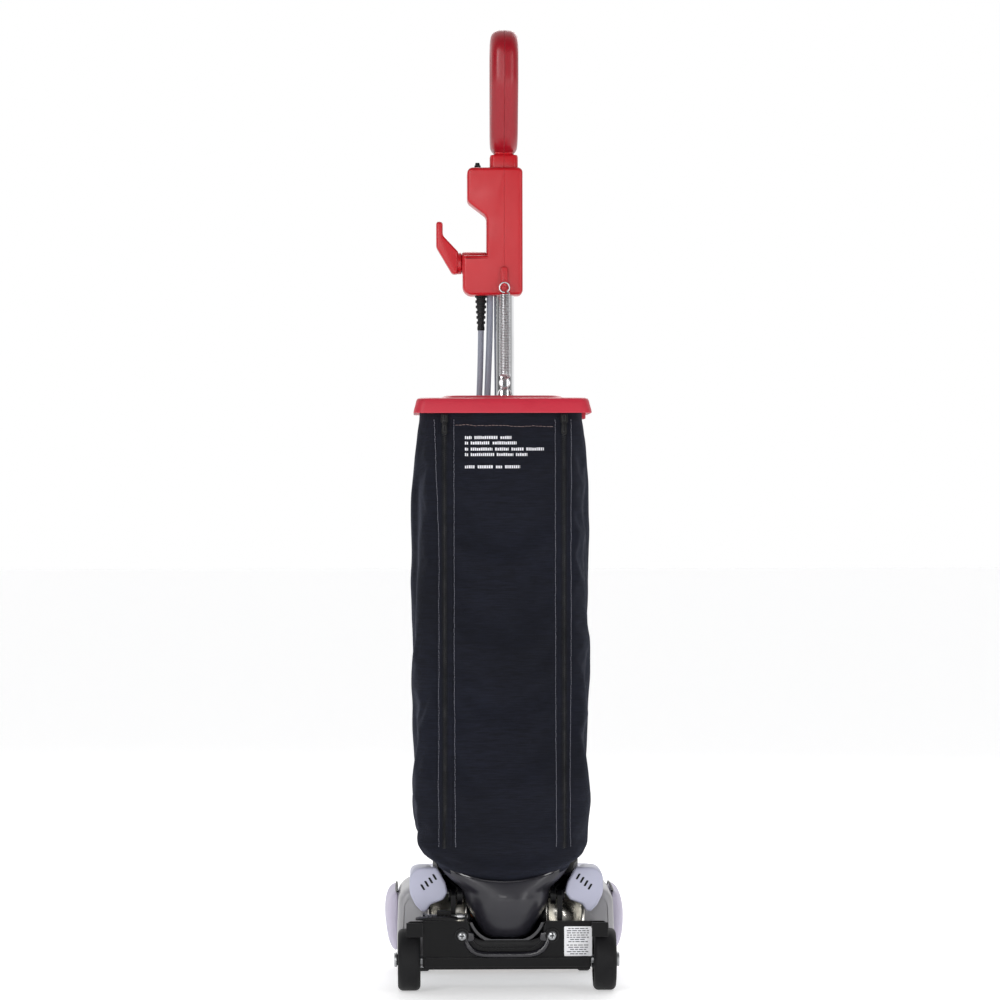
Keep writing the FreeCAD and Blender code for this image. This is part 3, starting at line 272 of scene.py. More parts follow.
LOOKS = {
    "red_plastic": plastic("red_plastic", "b80c1b", 0.34, grain=1100, bump=0.05, vary=0.05, edge_highlight=0.1),
    "bag_fabric": woven("bag_fabric", "05060d", "171a28"),
    "paper_sack": strands("paper_sack", "b98d5c", "cfa878", 90, (1, 1, 0.1), 0.8),
    "black_gloss": plastic("black_gloss", "16151c", 0.16, grain=300, bump=0.012, edge_highlight=0.1, coat=0.5),
    "black_paint": plastic(
        "black_paint", "050507", 0.32, grain=500, bump=0.03, edge_highlight=0.1, coat=0.05, shine=0.16,
    ),
    "black_plastic": plastic("black_plastic", "070709", 0.42, grain=1000, bump=0.06, edge_highlight=0.12, shine=0.2),
    "grey_hood": plastic("grey_hood", "b9bace", 0.38, grain=1200, bump=0.05, vary=0.03, edge_highlight=0.15),
    "grey_casting": plastic(
        "grey_casting", "a09fa2", 0.34, grain=700, bump=0.08, vary=0.05, edge_highlight=0.3, coat=0.2,
    ),
    "pale_rubber": plastic("pale_rubber", "c9c3d6", 0.55, grain=500, bump=0.1, vary=0.05, edge_highlight=0.0),
    "black_rubber": plastic("black_rubber", "0b0b0d", 0.5, grain=700, bump=0.1, edge_highlight=0.1, shine=0.3),
    "tyre_black": plastic(
        "tyre_black", "101012", 0.6, grain=450, bump=0.15, vary=0.12, edge_highlight=0.12, shine=0.25,
    ),
    "chrome_tube": metal("chrome_tube", "e6e7e9", 0.07, drawn=(1, 1, 0.02), bump=0.004),
    "zinc": metal("zinc", "b9bbbd", 0.3, bump=0.03),
    "spring_steel": metal("spring_steel", "cfd0d2", 0.36, bump=0.01),
    "cord_grey": plastic("cord_grey", "8b92a0", 0.46, grain=350, bump=0.06, vary=0.05, edge_highlight=0),
    "copper": metal("copper", "b5653a", 0.35, drawn=(0.05, 1, 1), bump=0.15),
    "brass_pins": metal("brass_pins", "c9a95a", 0.22, bump=0.01),
    "aluminium_part": metal("aluminium_part", "b4b6ba", 0.38, cast=0.1),
    "bristle": strands("bristle", "17171a", "3a3a40", 900, (1, 1, 0.1), 0.6, 0.1),
    "wood_core": strands("wood_core", "a8793f", "c99b5e", 60, (0.08, 1, 1), 0.5),
    "carbon": plastic("carbon", "202022", 0.7, grain=900, bump=0.1, edge_highlight=0),
}
# Painted sheen: a lighter, duller copy of the black gloss, for the even grey sheen on the boot.
BOOT_SHEEN_BLACK = plastic("boot_sheen_black", "232229", 0.36, grain=300, bump=0.012, edge_highlight=0.1, coat=0.12)
# Painted sheen: a lighter, pinker copy of the red plastic, for the sheen on the lid.
LID_SHEEN_RED = plastic("lid_sheen_red", "bd2338", 0.42, grain=1100, bump=0.05, vary=0.05, edge_highlight=0.1)
# Painted shade: a darker copy of the red plastic, for the grip.
GRIP_SHADED_RED = plastic("grip_shaded_red", "93071a", 0.32, grain=1100, bump=0.05, vary=0.05, edge_highlight=0.1)
THREAD = plastic("stitch_thread", "7d7e89", 0.75, grain=3000, bump=0.1, edge_highlight=0)
LOOSE_THREAD = plastic("loose_thread", "8d7a78", 0.75, grain=3000, bump=0.1, edge_highlight=0)
PRINT = plastic("printed_ink", "dcdce2", 0.55, grain=2500, bump=0.03, edge_highlight=0)
GREY_PRINT = plastic("label_ink", "55555c", 0.6, grain=2500, bump=0.02, edge_highlight=0)
TAPE = woven("zip_tape", "08090d", "1b1d27", 0.9)
POLISHED = metal("polished_dish", "efece4", 0.27, bump=0.01, cast=0.03)
LABEL = plastic("label_paper", "efeff2", 0.45, grain=1500, bump=0.02, vary=0.02, edge_highlight=0)


# --- shapes ---------------------------------------------------------------------------------


def merged(*parts):
    """One list of points and one of faces from several."""
    points, faces = [], []
    for part_points, part_faces in parts:
        start = len(points)
        points += part_points
        faces += [[i + start for i in face] for face in part_faces]
    return points, faces


def skin(rings, caps=True, closed=True):
    """Faces between rings that have the same number of points."""
    count = len(rings[0])
    points = [p for ring in rings for p in ring]
    faces = []
    for r in range(len(rings) - 1):
        for i in range(count if closed else count - 1):
            j = (i + 1) % count
            faces.append([r * count + i, r * count + j, (r + 1) * count + j, (r + 1) * count + i])
    if caps:
        faces.append(list(range(count))[::-1])
        faces.append(list(range(len(points) - count, len(points))))
    return points, faces


def laid(plane, u, v, w):
    """A point (u, v) of a plane, w along the plane's axis."""
    return {"XY": (u, v, w), "XZ": (u, w, v), "YZ": (w, u, v)}[plane]


def lathe(profile, axis, centre, steps=56):
    """Turned shape; the profile's points are (radius, distance along the axis)."""
    rings = []
    for radius, along in profile:
        ring = []
        for i in range(steps):
            a = 2 * math.pi * i / steps
            u, v = radius * math.cos(a), radius * math.sin(a)
            offset = {"X": (along, u, v), "Y": (u, along, v), "Z": (u, v, along)}[axis]
            ring.append([c + o for c, o in zip(centre, offset)])
        rings.append(ring)
    return skin(rings)


def outline(*corners):
    """A closed outline; each corner is (u, v) or (u, v, radius of its rounding)."""
    points = []
    for i, corner in enumerate(corners):
        here = Vector(corner[:2])
        radius = corner[2] if len(corner) > 2 else 0
        if not radius:
            points.append(here)
            continue
        back = (Vector(corners[i - 1][:2]) - here)
        on = (Vector(corners[(i + 1) % len(corners)][:2]) - here)
        half = back.angle(on) / 2
        reach = min(radius / math.tan(half), back.length * 0.49, on.length * 0.49)
        radius = reach * math.tan(half)
        start, end = here + back.normalized() * reach, here + on.normalized() * reach
        centre = here + (back.normalized() + on.normalized()).normalized() * radius / math.sin(half)
        for k in range(7):
            spot = start.lerp(end, k / 6) - centre
            points.append(centre + spot.normalized() * radius)
    return points


def rectangle(low_u, low_v, high_u, high_v, corner=0):
    corners = ((low_u, low_v), (high_u, low_v), (high_u, high_v), (low_u, high_v))
    return outline(*[(u, v, corner) for u, v in corners])


def handed(way, *corners):
    """An outline given for the right-hand side, and its mirror image where way is -1."""
    return outline(*[(way * u, v, radius) for u, v, radius in corners])


def mirrored(points):
    """A path from left to right, given its left half."""
    return [*points, *[(-x, *rest) for x, *rest in reversed(points)]]


def inset(points, distance):
    """The outline moved inwards; outlines run anticlockwise."""
    moved = []
    for i, p in enumerate(points):
        before, after = points[i - 1], points[(i + 1) % len(points)]
        first, second = (p - before).normalized(), (after - p).normalized()
        normal = Vector((-first.y - second.y, first.x + second.x))
        normal.normalize()
        slant = max(0.5, normal.dot(Vector((-first.y, first.x))))
        moved.append(p + normal * (distance / slant))
    return moved


def slab(plane, points, low, high, edge=1.0, steps=3):
    """An outline extruded from low to high with rounded edges at both ends."""
    area = sum(a.x * b.y - b.x * a.y for a, b in zip(points, points[1:] + points[:1]))
    if area < 0:
        points = points[::-1]
    rings = []
    turns = [math.pi / 2 * k / steps for k in range(steps + 1)]
    for t in turns:
        ring = inset(points, edge * (1 - math.sin(t)))
        rings.append([laid(plane, p.x, p.y, low + edge * (1 - math.cos(t))) for p in ring])
    for t in reversed(turns):
        ring = inset(points, edge * (1 - math.sin(t)))
        rings.append([laid(plane, p.x, p.y, high - edge * (1 - math.cos(t))) for p in ring])
    return skin(rings)


def brick(low, high, edge=0.8, corner=1.0):
    """A box with rounded edges, between two corners."""
    (x0, y0, z0), (x1, y1, z1) = low, high
    return slab("XY", rectangle(x0, y0, x1, y1, corner), z0, z1, edge)


def stack(middle_x, middle_y, rows, share=1.0, most=99):
    """Rounded rectangles up Z, from rows of (height, half width, half depth)."""
    rings = []
    for z, half_x, half_y in rows:
        plan = rectangle(-half_x, -half_y, half_x, half_y, min(most, half_y * share))
        rings.append([(p.x + middle_x, p.y + middle_y, z) for p in plan])
    return skin(rings)


def pipe(path, radius, sides=8, closed=False, taper=None):
    """A tube of millimetre points along a path, with steady frames."""
    path = [Vector(p) for p in path]
    count = len(path)
    tangents = []
    for i in range(count):
        ahead = path[(i + 1) % count] if closed or i < count - 1 else path[i]
        behind = path[i - 1] if closed or i else path[i]
        tangents.append((ahead - behind).normalized())
    side = tangents[0].orthogonal().normalized()
    rings = []
    for i, (p, t) in enumerate(zip(path, tangents)):
        side = (side - t * side.dot(t)).normalized()
        other = t.cross(side)
        size = radius * (taper[i] if taper else 1)
        turns = [2 * math.pi * k / sides for k in range(sides)]
        rings.append([p + side * math.cos(a) * size + other * math.sin(a) * size for a in turns])
    if closed:
        return skin(rings + rings[:1], caps=False)
    return skin(rings)


def smooth_step(t):
    t = min(1.0, max(0.0, t))
    return t * t * (3 - 2 * t)


def between(table, at):
    """Values smoothly read from rows of (place, value, value, ...)."""
    if at <= table[0][0]:
        return table[0][1:]
    for before, after in zip(table, table[1:]):
        if at <= after[0]:
            even = (at - before[0]) / (after[0] - before[0])
            share = smooth_step(even) * 0.5 + even * 0.5
            return tuple(a + (b - a) * share for a, b in zip(before[1:], after[1:]))
    return table[-1][1:]


def settle(piece, body, look, *nodes, slot=None):
    """Give a piece its material, its body and the CAD nodes that it stands for."""
    material = LOOKS[look] if isinstance(look, str) else look
    piece.data.materials.append(material)
    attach(piece, body)
    if nodes:
        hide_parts(*nodes)


def shade(data, sharp):
    """Smooth shading, with hard edges where faces meet at more than this many degrees."""
    data.shade_smooth()
    data.set_sharp_from_angle(angle=math.radians(sharp))


def build(name, shape, body, look, *nodes, slot=None, sharp=35):
    """A mesh piece from millimetre points and faces."""
    data = bpy.data.meshes.new(name)
    data.from_pydata([Vector(p) * MM for p in shape[0]], [], shape[1])
    edit = bmesh.new()
    edit.from_mesh(data)
    bmesh.ops.remove_doubles(edit, verts=edit.verts, dist=WELD_DISTANCE)
    bmesh.ops.recalc_face_normals(edit, faces=edit.faces)
    edit.to_mesh(data)
    edit.free()
    shade(data, sharp)
    piece = place_object(name, data)
    settle(piece, body, look, *nodes, slot=slot)
    return piece


def apply_modifiers(piece):
    """The mesh as its modifiers leave it."""
    bpy.context.view_layer.update()
    data = bpy.data.meshes.new_from_object(piece.evaluated_get(bpy.context.evaluated_depsgraph_get()))
    piece.modifiers.clear()
    piece.data = data


def modify(piece, kind, **settings):
    made = piece.modifiers.new(kind.lower(), kind)
    for key, setting in settings.items():
        setattr(made, key, setting)
    return made


def thicken(piece, wall):
    """Give a skin its thickness, on its inner side."""
    modify(piece, "SOLIDIFY", thickness=wall * MM)


def subdivide(piece, levels):
    modify(piece, "SUBSURF", levels=levels, render_levels=levels)


def split(piece):
    """Part a moulding down its middle, with a fine groove along the joint."""
    edit = bmesh.new()
    edit.from_mesh(piece.data)
    halves = bmesh.new()
    for side in (-1, 1):
        half = edit.copy()
        bmesh.ops.bisect_plane(
            half, geom=[*half.verts, *half.edges, *half.faces], plane_co=(side * 0.05 * MM, 0, 0),
            plane_no=(side, 0, 0), clear_inner=True,
        )
        rim = [e for e in half.edges if e.is_boundary]
        bmesh.ops.triangle_fill(half, edges=rim, use_beauty=True)
        rim = [e for e in half.edges if all(abs(v.co.x) < 0.1 * MM for v in e.verts)
               and any(abs(f.normal.x) < 0.7 for f in e.link_faces)]
        bmesh.ops.bevel(half, geom=rim, offset=GROOVE * MM, segments=1, affect="EDGES", clamp_overlap=True)
        copies = [halves.verts.new(v.co) for v in half.verts]
        half.verts.index_update()
        for face in half.faces:
            halves.faces.new([copies[v.index] for v in face.verts])
        half.free()
        halves.verts.ensure_lookup_table()
    bmesh.ops.recalc_face_normals(halves, faces=halves.faces)
    halves.to_mesh(piece.data)
    halves.free()
    edit.free()
    shade(piece.data, 35)


# --- cords ----------------------------------------------------------------------------------


POWER_ROUTE = (
    (-29, -27, 819), (-29.6, -27, 775), (-31.6, -26.6, 728), (-33.2, -26.8, 680), (-34.4, -27.4, 630),
    (-37, -26, 582), (-43, -22, 535), (-53, -14, 490), (-66, -4, 450), (-78, 5, 414), (-84, 9, 383),
)
TAIL_ROUTE = ((-84.5, 31, 322), (-85.6, 31, 296), (-87.5, 31, 270))
LEAD_ROUTE = (
    (-17.6, -27, 866), (-17.8, -27, 820), (-19.6, -27, 775), (-21.6, -26.8, 722), (-22.3, -27, 650),
    (-22.8, -27.3, 560), (-22.3, -27.1, 460), (-22.4, -26.7, 360), (-22.8, -27, 270), (-24, -27, 215),
    (-24.2, -27, 172),
)
# Where each turn of the coil lies in the bundle: (column along Y, row outwards).
TURNS = (
    (0, 4), (0, 3), (0, 2), (0, 1), (0, 0), (1, 0), (2, 0), (3, 0), (4, 0), (4, 1), (3, 1), (2, 1),
    (1, 1), (1, 2), (2, 2), (3, 2), (4, 2), (4, 3), (3, 3), (2, 3), (1, 3), (1, 4), (2, 4), (3, 4),
)
TURN_POINTS = 16
PITCH = 8  # from one turn to its neighbour
FIRST_REACH = 53
COIL_HEIGHT = 350
ROUND_UP = 8 / (6 + 2 * math.cos(2 * math.pi / TURN_POINTS))  # a spline runs inside its points


def coil_route():
    """The stored turns, from where the cord reaches the bundle to where its tail leaves it."""
    start = math.radians(158.6)
    points = []
    for turn, cell in enumerate(TURNS):
        after = TURNS[min(turn + 1, len(TURNS) - 1)]
        for k in range(TURN_POINTS):
            move = smooth_step((k / TURN_POINTS - 0.7) / 0.3)
            column = cell[0] + (after[0] - cell[0]) * move
            row = cell[1] + (after[1] - cell[1]) * move
            angle = start + 2 * math.pi * (turn + k / TURN_POINTS)
            reach = (FIRST_REACH + PITCH * row + draws.uniform(-0.25, 0.25)) * ROUND_UP
            side = 5 + PITCH * column + draws.uniform(-0.2, 0.2)
            points.append((reach * math.cos(angle), side, COIL_HEIGHT + reach * math.sin(angle)))
    last = (FIRST_REACH + PITCH * 4 + 0.5) * ROUND_UP
    angle = start + math.radians(8)
    points.append((last * math.cos(angle), 30, COIL_HEIGHT + last * math.sin(angle)))
    return points[1:]


def cord_piece(name, route, diameter, look, nodes):
    data = bpy.data.curves.new(name, "CURVE")
    data.dimensions = "3D"
    data.bevel_depth = diameter / 2
    data.bevel_resolution = 3
    data.resolution_u = 6
    spline = data.splines.new("NURBS")
    spline.points.add(len(route) - 1)
    for point, place in zip(spline.points, route):
        point.co = (*(Vector(place) * MM), 1)
    spline.order_u = 3
    spline.use_endpoint_u = True
    cord = place_object(name, data)
    settle(cord, "handle", look, *nodes)
    return cord


def ribbed_relief():
    """Tapered rubber sleeve with rings, and its collar in the housing."""
    profile = [(0.5, 50), (7.6, 50), (7.6, 46.5), (6.2, 46)]
    for k in range(6):
        top = 43 - 6.6 * k
        bulge = 7.5 - 0.42 * k
        profile += [
            (bulge - 1.5, top + 1.6), (bulge, top + 0.9), (bulge, top - 2.0), (bulge - 1.5, top - 2.7),
        ]
    profile += [(4.7, 3), (4.6, 0.5), (4.1, -0.6), (0.5, -0.6)]
    return lathe(profile, "Z", (-29, -27, 819))


def plug_shape():
    """Moulded plug: rounded body with finger grooves, hanging pins down."""
    return stack(-87.5, 31, (
        (270.6, 4.2, 4.2), (268, 5.2, 5.0), (262, 6.6, 6.0),
        (259, 8.8, 7.4), (257.5, 10, 8.2), (255, 10.2, 8.4),
        (253.8, 9.4, 7.6), (251.8, 9.4, 7.6), (250.6, 10.6, 8.6), (248.2, 10.8, 8.8), (247, 9.8, 7.8),
        (245, 9.8, 7.8), (243.8, 11.2, 9.0), (241, 12.6, 10.4), (238, 13.8, 11.6), (232.5, 14, 12),
        (230.6, 13.4, 11.4), (230, 12.4, 10.4),
    ), share=0.8)


def tie_shape():
    """Strap round the bundle of turns, with its overlapping end standing a little proud."""
    turn = rectangle(48.2, 0.2, 90, 41.8, 6)
    rings = []
    for p, q in zip(turn, inset(turn, -1.3)):
        rings.append([(p.x, p.y, 341), (q.x, q.y, 341), (q.x, q.y, 359), (p.x, p.y, 359)])
    band = skin(rings + rings[:1], caps=False)
    flap = slab("YZ", rectangle(6, 342, 34, 358), 91.2, 92.6, 0.5)
    return merged(band, flap)


def make_cords():
    route = [*POWER_ROUTE, *coil_route(), *TAIL_ROUTE]
    cord = cord_piece("mains_cord", route, 0.0078, "cord_grey", ["power_cord", "cord_coil", "cord_tail"])
    relief = build("cord_relief", ribbed_relief(), "handle", "black_rubber", "strain_relief")
    plug = build("mains_plug", plug_shape(), "handle", "cord_grey", "plug_body")
    tie = build("coil_tie", tie_shape(), "handle", "black_rubber")
    lead = cord_piece("lower_lead", LEAD_ROUTE, 0.0084, "cord_grey", ["motor_lead"])


# --- carried-over CAD parts --------------------------------------------------------------------


def finish_node(piece, material):
    """Material, soft edges and smooth shading for a CAD node that stays."""
    slots = piece.data.materials
    if slots:
        for i in range(len(slots)):
            slots[i] = material
    else:
        slots.append(material)
    piece.data.shade_smooth()
    modify(piece, "WELD", merge_threshold=1e-5)
    modify(piece, "DECIMATE", decimate_type="DISSOLVE", angle_limit=math.radians(0.5))
    modify(
        piece, "BEVEL", width=0.6 * MM, segments=2, limit_method="ANGLE", angle_limit=math.radians(30),
        use_clamp_overlap=True, harden_normals=True,
    )
    modify(piece, "WEIGHTED_NORMAL", keep_sharp=True)


# --- cloth bag ----------------------------------------------------------------------------------


COLUMNS, ROWS = 132, 100
BAG_TOP = 714.0
ZIP_MIDDLE = -3.2
ZIP_REACH = 73
CLOTH_CAP = 5  # how far the settling cloth may move
CLOTH_FRAMES = 20
BAG_FRONT = -42.5  # the cloth stays behind this, clear of the tube
# Height over the boot's rim, half width, back, front, and how far the back is crowned.
BAG_TABLE = (
    (-6, 80.5, -135, -52, 14), (0, 82, -136, -50, 15), (4, 90, -139, -47, 15),
    (9, 97.5, -142, -45.5, 14), (24, 101, -148, -45, 11),
    (60, 103.5, -163, -45, 7), (118, 105.5, -178, -45, 3), (230, 106.5, -178.5, -45, 2),
    (310, 106, -178.5, -45, 2), (420, 105, -178.5, -46, 2),
    (470, 103.5, -178.5, -46, 2), (520, 100.5, -178.5, -48, 2),
    (560, 99.5, -178.5, -50, 2), (600, 101, -178.5, -52, 2),
)


RIM_HALF, RIM_RADIUS, RIM_CENTRE = 84, 165, 301  # the boot's rim is an arc that dips in the middle


def rim_height(x):
    return RIM_CENTRE - math.sqrt(RIM_RADIUS ** 2 - min(abs(x), RIM_HALF) ** 2)


def bag_lean(z):
    """How far the hanging bag stands to the side of the machine's middle."""
    return -3 + (SWAY + 3) * smooth_step((z - 140) / 80)


def evenly(points, count):
    """Points at equal distances round a closed outline."""
    loop = [*points, points[0]]
    gone = [0.0]
    for a, b in zip(loop, loop[1:]):
        gone.append(gone[-1] + (b - a).length)
    found, i = [], 0
    for k in range(count):
        target = gone[-1] * k / count
        while gone[i + 1] < target:
            i += 1
        found.append(loop[i].lerp(loop[i + 1], (target - gone[i]) / max(1e-9, gone[i + 1] - gone[i])))
    return found


def bag_ring(height):
    half, back, front, crown = between(BAG_TABLE, height)
    plan = outline(
        (0, back - crown), (half * 0.55, back - crown * 0.7), (half, back + 1, 20), (half, front, 18),
        (-half, front, 18), (-half, back + 1, 20), (-half * 0.55, back - crown * 0.7),
    )
    return evenly(plan, COLUMNS)


def bag_points():
    """Rings of the bag before it is left to settle, bottom first."""
    edge = bag_ring(0)
    plans = {}
    points = []
    for row in range(ROWS + 1):
        for k in range(COLUMNS):
            rim = rim_height(edge[k].x)
            z = rim - 6 + (BAG_TOP - rim + 6) * row / ROWS
            level = round((z - rim) / 1.5)
            if level not in plans:
                plans[level] = bag_ring(level * 1.5)
            p = plans[level][k]
            points.append([p.x + bag_lean(z), p.y, z])
    return points


def near_zip(x, y):
    return y < -170 and abs(abs(x - ZIP_MIDDLE) - ZIP_REACH) < 8


def make_bag_mesh():
    """The bag: a sewn tube that is let out a little, so that it creases between its held edges."""
    points = bag_points()
    faces = []
    for row in range(ROWS):
        for k in range(COLUMNS):
            here, after = row * COLUMNS + k, row * COLUMNS + (k + 1) % COLUMNS
            faces.append([here, after, after + COLUMNS, here + COLUMNS])
    for i, (x, y, z) in enumerate(points):
        free = smooth_step((z - 175) / 60) * smooth_step((BAG_TOP - 8 - z) / 40)
        if near_zip(x, y):
            free = 0
        side = smooth_step((abs(x - bag_lean(z)) - 70) / 25)
        upright = noise.noise(Vector((x / 26, y / 30, z / 150)))
        level = noise.noise(Vector((x / 50, y / 60 + 7, z / 38)))
        fold = upright * 1.6 + level * 1.3
        outward = Vector((x - bag_lean(z), (y + 112) * 1.4, 0)).normalized()
        shift = outward * fold * free * (0.7 + 1.1 * side)
        points[i] = [x + shift.x, y + shift.y, z]
    data = bpy.data.meshes.new("bag")
    data.from_pydata([Vector(p) * MM for p in points], [], faces)
    bag = place_object("bag", data)
    settle_cloth(bag, points)
    subdivide(bag, 1)
    apply_modifiers(bag)
    bag.data.shade_smooth()
    return bag


CLOTH_SETTINGS = {
    "quality": 6, "mass": 0.2, "tension_stiffness": 20, "compression_stiffness": 20, "shear_stiffness": 8,
    "bending_stiffness": 1.5, "air_damping": 2, "shrink_min": -0.022, "vertex_group_mass": "held",
    "use_pressure": True, "uniform_pressure_force": 0.35,
}


def settle_cloth(bag, start):
    """Let the bag swell and crease a little between its held edges and zips."""
    held = bag.vertex_groups.new(name="held")
    for i, (x, y, z) in enumerate(start):
        row = i // COLUMNS
        if row <= 2 or row >= ROWS - 2 or near_zip(x, y):
            held.add([i], 1.0, "REPLACE")
    cloth = modify(bag, "CLOTH")
    for key, value in CLOTH_SETTINGS.items():
        setattr(cloth.settings, key, value)
    cloth.settings.effector_weights.gravity = 0.15
    cloth.collision_settings.use_collision = False
    cloth.collision_settings.use_self_collision = False
    cloth.point_cache.frame_start = 1
    cloth.point_cache.frame_end = CLOTH_FRAMES
    for moment in range(1, CLOTH_FRAMES + 1):
        scene.frame_set(moment)
    apply_modifiers(bag)
    scene.frame_set(1)
    for vertex, place in zip(bag.data.vertices, start):
        move = vertex.co - Vector(place) * MM
        if move.length > CLOTH_CAP * MM:
            vertex.co = Vector(place) * MM + move.normalized() * CLOTH_CAP * MM
        vertex.co.y = min(vertex.co.y, BAG_FRONT * MM)


FAR_BEHIND = -400


class Cloth:
    """Finds the outside of the bag, to sew things on it."""

    def __init__(self, bag):
        bag.data.calc_loop_triangles()
        corners = [v.co.copy() for v in bag.data.vertices]
        self.tree = BVHTree.FromPolygons(corners, [list(p.vertices) for p in bag.data.polygons])

    def back(self, x, z, proud=0.0):
        """A point on the back of the bag, in millimetres, standing proud of the cloth."""
        start = Vector((x * MM, FAR_BEHIND * MM, z * MM))
        spot, normal, _, _ = self.tree.ray_cast(start, Vector((0, 1, 0)))
        if spot is None:
            return None
        if normal.y > 0:
            normal = -normal
        return spot / MM + normal * proud


def sewn(cloth, line, pitch, length, thread, lift=0.0):
    """Stitches along a line of (x, z) points."""
    parts = []
    line = [Vector(p) for p in line]
    for a, b in zip(line, line[1:]):
        count = max(1, round((b - a).length / pitch))
        for k in range(count):
            first = a.lerp(b, k / count)
            wander = Vector((draws.uniform(-0.3, 0.3), draws.uniform(-0.3, 0.3)))
            step = (b - a).normalized() * length
            path = []
            for share, proud in ((0, -0.3), (0.2, 0.35), (0.5, 0.55), (0.8, 0.35), (1, -0.3)):
                spot = cloth.back(*(first + wander + step * share), proud + lift)
                if spot is not None:
                    path.append(spot)
            if len(path) == 5:
                parts.append(pipe(path, thread, 5))
    return merged(*parts)


def ribbon(cloth, side, low, high, half, proud):
    """A flat upright tape on the back of the bag."""
    rings = []
    for k in range(int((high - low) / 6) + 1):
        z = low + k * 6
        ring = []
        for share in (-1, -0.92, -0.4, 0, 0.4, 0.92, 1):
            lift = proud if abs(share) < 0.95 else -0.2
            ring.append(cloth.back(side + share * half, z, lift))
        if None not in ring:
            rings.append(ring)
    return skin(rings, caps=False, closed=False)


def zip_teeth(cloth, side, low, high):
    """Two rows of teeth that mesh, standing proud of their tape."""
    parts = []
    pitch = 2.3
    for k in range(int((high - low) / pitch)):
        z = low + k * pitch
        for hand in (-1, 1):
            height = z + (pitch / 2 if hand > 0 else 0)
            spot = cloth.back(side, height, 0.7)
            if spot is not None:
                x, y = spot.x + hand * 0.9, spot.y
                low_corner = (x - 1.4, y - 0.6, height - 0.5)
                parts.append(brick(low_corner, (x + 1.4, y + 0.6, height + 0.5), 0.3, 0.3))
    return merged(*parts)


def printed_lines(cloth):
    """Unreadable lines of print: short bars in the place of words."""
    parts = []
    rows = (
        (681.2, (9, 29, 14.5)), (674.6, (4.5, 24, 30)),
        (667.1, (4.5, 27, 17.5, 15.5, 22)), (660.4, (4.5, 29, 21, 14.5)),
        (645.4, (13, 19.5, 8.5, 19)),
    )
    for z, words in rows:
        x = -51.2
        for word in words:
            end = x + word
            while x < end:
                step = min(draws.uniform(2.2, 3.0), end - x)
                corners = []
                tall = draws.choice((1.5, 1.9, 1.9))
                for dx, dz in ((0, -1.7), (step - 0.7, -1.7), (step - 0.7, tall), (0, tall)):
                    corners.append(cloth.back(x + dx, z + dz, 0.22))
                if None not in corners and step > 1:
                    parts.append((corners, [[0, 1, 2, 3]]))
                x += step
            x = end + 2.6
    return merged(*parts)


def zip_slider(x):
    """Slider body with its ridge, and the pull tab that hangs from it."""
    body = brick((x - 4.6, -185.8, 699.5), (x + 4.6, -182.7, 710), 1.0, 1.6)
    ridge = brick((x - 1.6, -187.1, 701), (x + 1.6, -185.3, 708.5), 0.7, 0.7)
    tab = slab("XZ", outline(
        (x - 2.2, 702, 1), (x - 3.4, 689, 2), (x - 3.0, 685.2, 2),
        (x + 3.0, 685.2, 2), (x + 3.4, 689, 2), (x + 2.2, 702, 1),
    ), -187, -185.7, 0.4)
    boss = slab("XZ", outline(
        (x - 1.6, 688, 1), (x + 1.6, 688, 1), (x + 1.2, 696, 1), (x - 1.2, 696, 1),
    ), -187.6, -186.4, 0.4)
    return merged(body, ridge, tab, boss)


# Where each upright seam runs at the foot, waist and top of the bag, and how proud its thread is.
SEAMS = ((-84, -83, -88.5, 0.9), (-64, -64.6, -64.6, 0.3), (59.5, 59.1, 59.1, 0.3), (76.5, 78, 78.3, 0.9))


def make_bag():
    bag = make_bag_mesh()
    cloth = Cloth(bag)
    settle(bag, "handle", "bag_fabric", "cloth_bag")
    pieces = []
    low = 178
    for hand, side in (("left", ZIP_MIDDLE - ZIP_REACH), ("right", ZIP_MIDDLE + ZIP_REACH)):
        band = ribbon(cloth, side, low, 707, 9.5, 0.5)
        tape = build(f"zip_tape_{hand}", band, "handle", TAPE, "zipper_tapes", slot="bag_fabric")
        hems = [ribbon(cloth, side + offset, low, 707, 2.6, 1.0) for offset in (-6.4, 6.4)]
        edges = build(f"zip_seam_{hand}", merged(*hems), "handle", "bag_fabric")
        teeth = build(f"zip_teeth_{hand}", zip_teeth(cloth, side, low, 700), "handle", "black_plastic")
        pieces += [tape, edges, teeth]
        build(
            f"zip_slider_{hand}", zip_slider(side), f"zip_{hand}", "black_plastic", f"zipper_slider_{hand}",
        )
    lines = []
    for foot, waist, top, lift in SEAMS:
        line = [
            (foot + 0.8, 180), (foot, 260), (waist, 420), (waist, 560),
            ((waist + top) / 2, 630), (top, 704),
        ]
        lines.append(sewn(cloth, line, 2.9, 1.9, 0.34, lift))
    pieces.append(build("seam_thread", merged(*lines), "handle", THREAD, slot="bag_fabric"))
    hem = [(-63 + k * 13.4, 696.5 - 0.2 * k + 0.5 * math.sin(k * 1.9)) for k in range(10)]
    loose = sewn(cloth, hem, 4.4, 3.6, 0.3)
    pieces.append(build("hem_thread", loose, "handle", LOOSE_THREAD, slot="bag_fabric"))
    pieces.append(build("print_bars", printed_lines(cloth), "handle", PRINT, slot="bag_fabric"))


# --- handle -----------------------------------------------------------------------------------


def lid_shape():
    """Shallow lid with a turned-down rim, a raised middle and a tongue on its right."""
    cover = stack(-5, -117.5, (
        (712.5, 104, 66.5), (711.6, 107.5, 71.0), (711.3, 108.4, 72.0),
        (712.0, 109.0, 72.5), (715.5, 108.4, 72.0), (722, 106.6, 70.4),
        (726.5, 105.6, 69.4), (728.8, 104.2, 68.2), (730, 101, 65.2),
        (730.2, 77, 58), (730.8, 74, 56.4), (732.4, 71.4, 54.8),
        (733, 68.5, 53), (733, 40, 30), (733, 12, 9),
    ), share=0.5, most=13)
    tongue = brick((89, -150, 704.6), (97.5, -110, 712.5), 1.0, 1.5)
    return merged(cover, tongue)


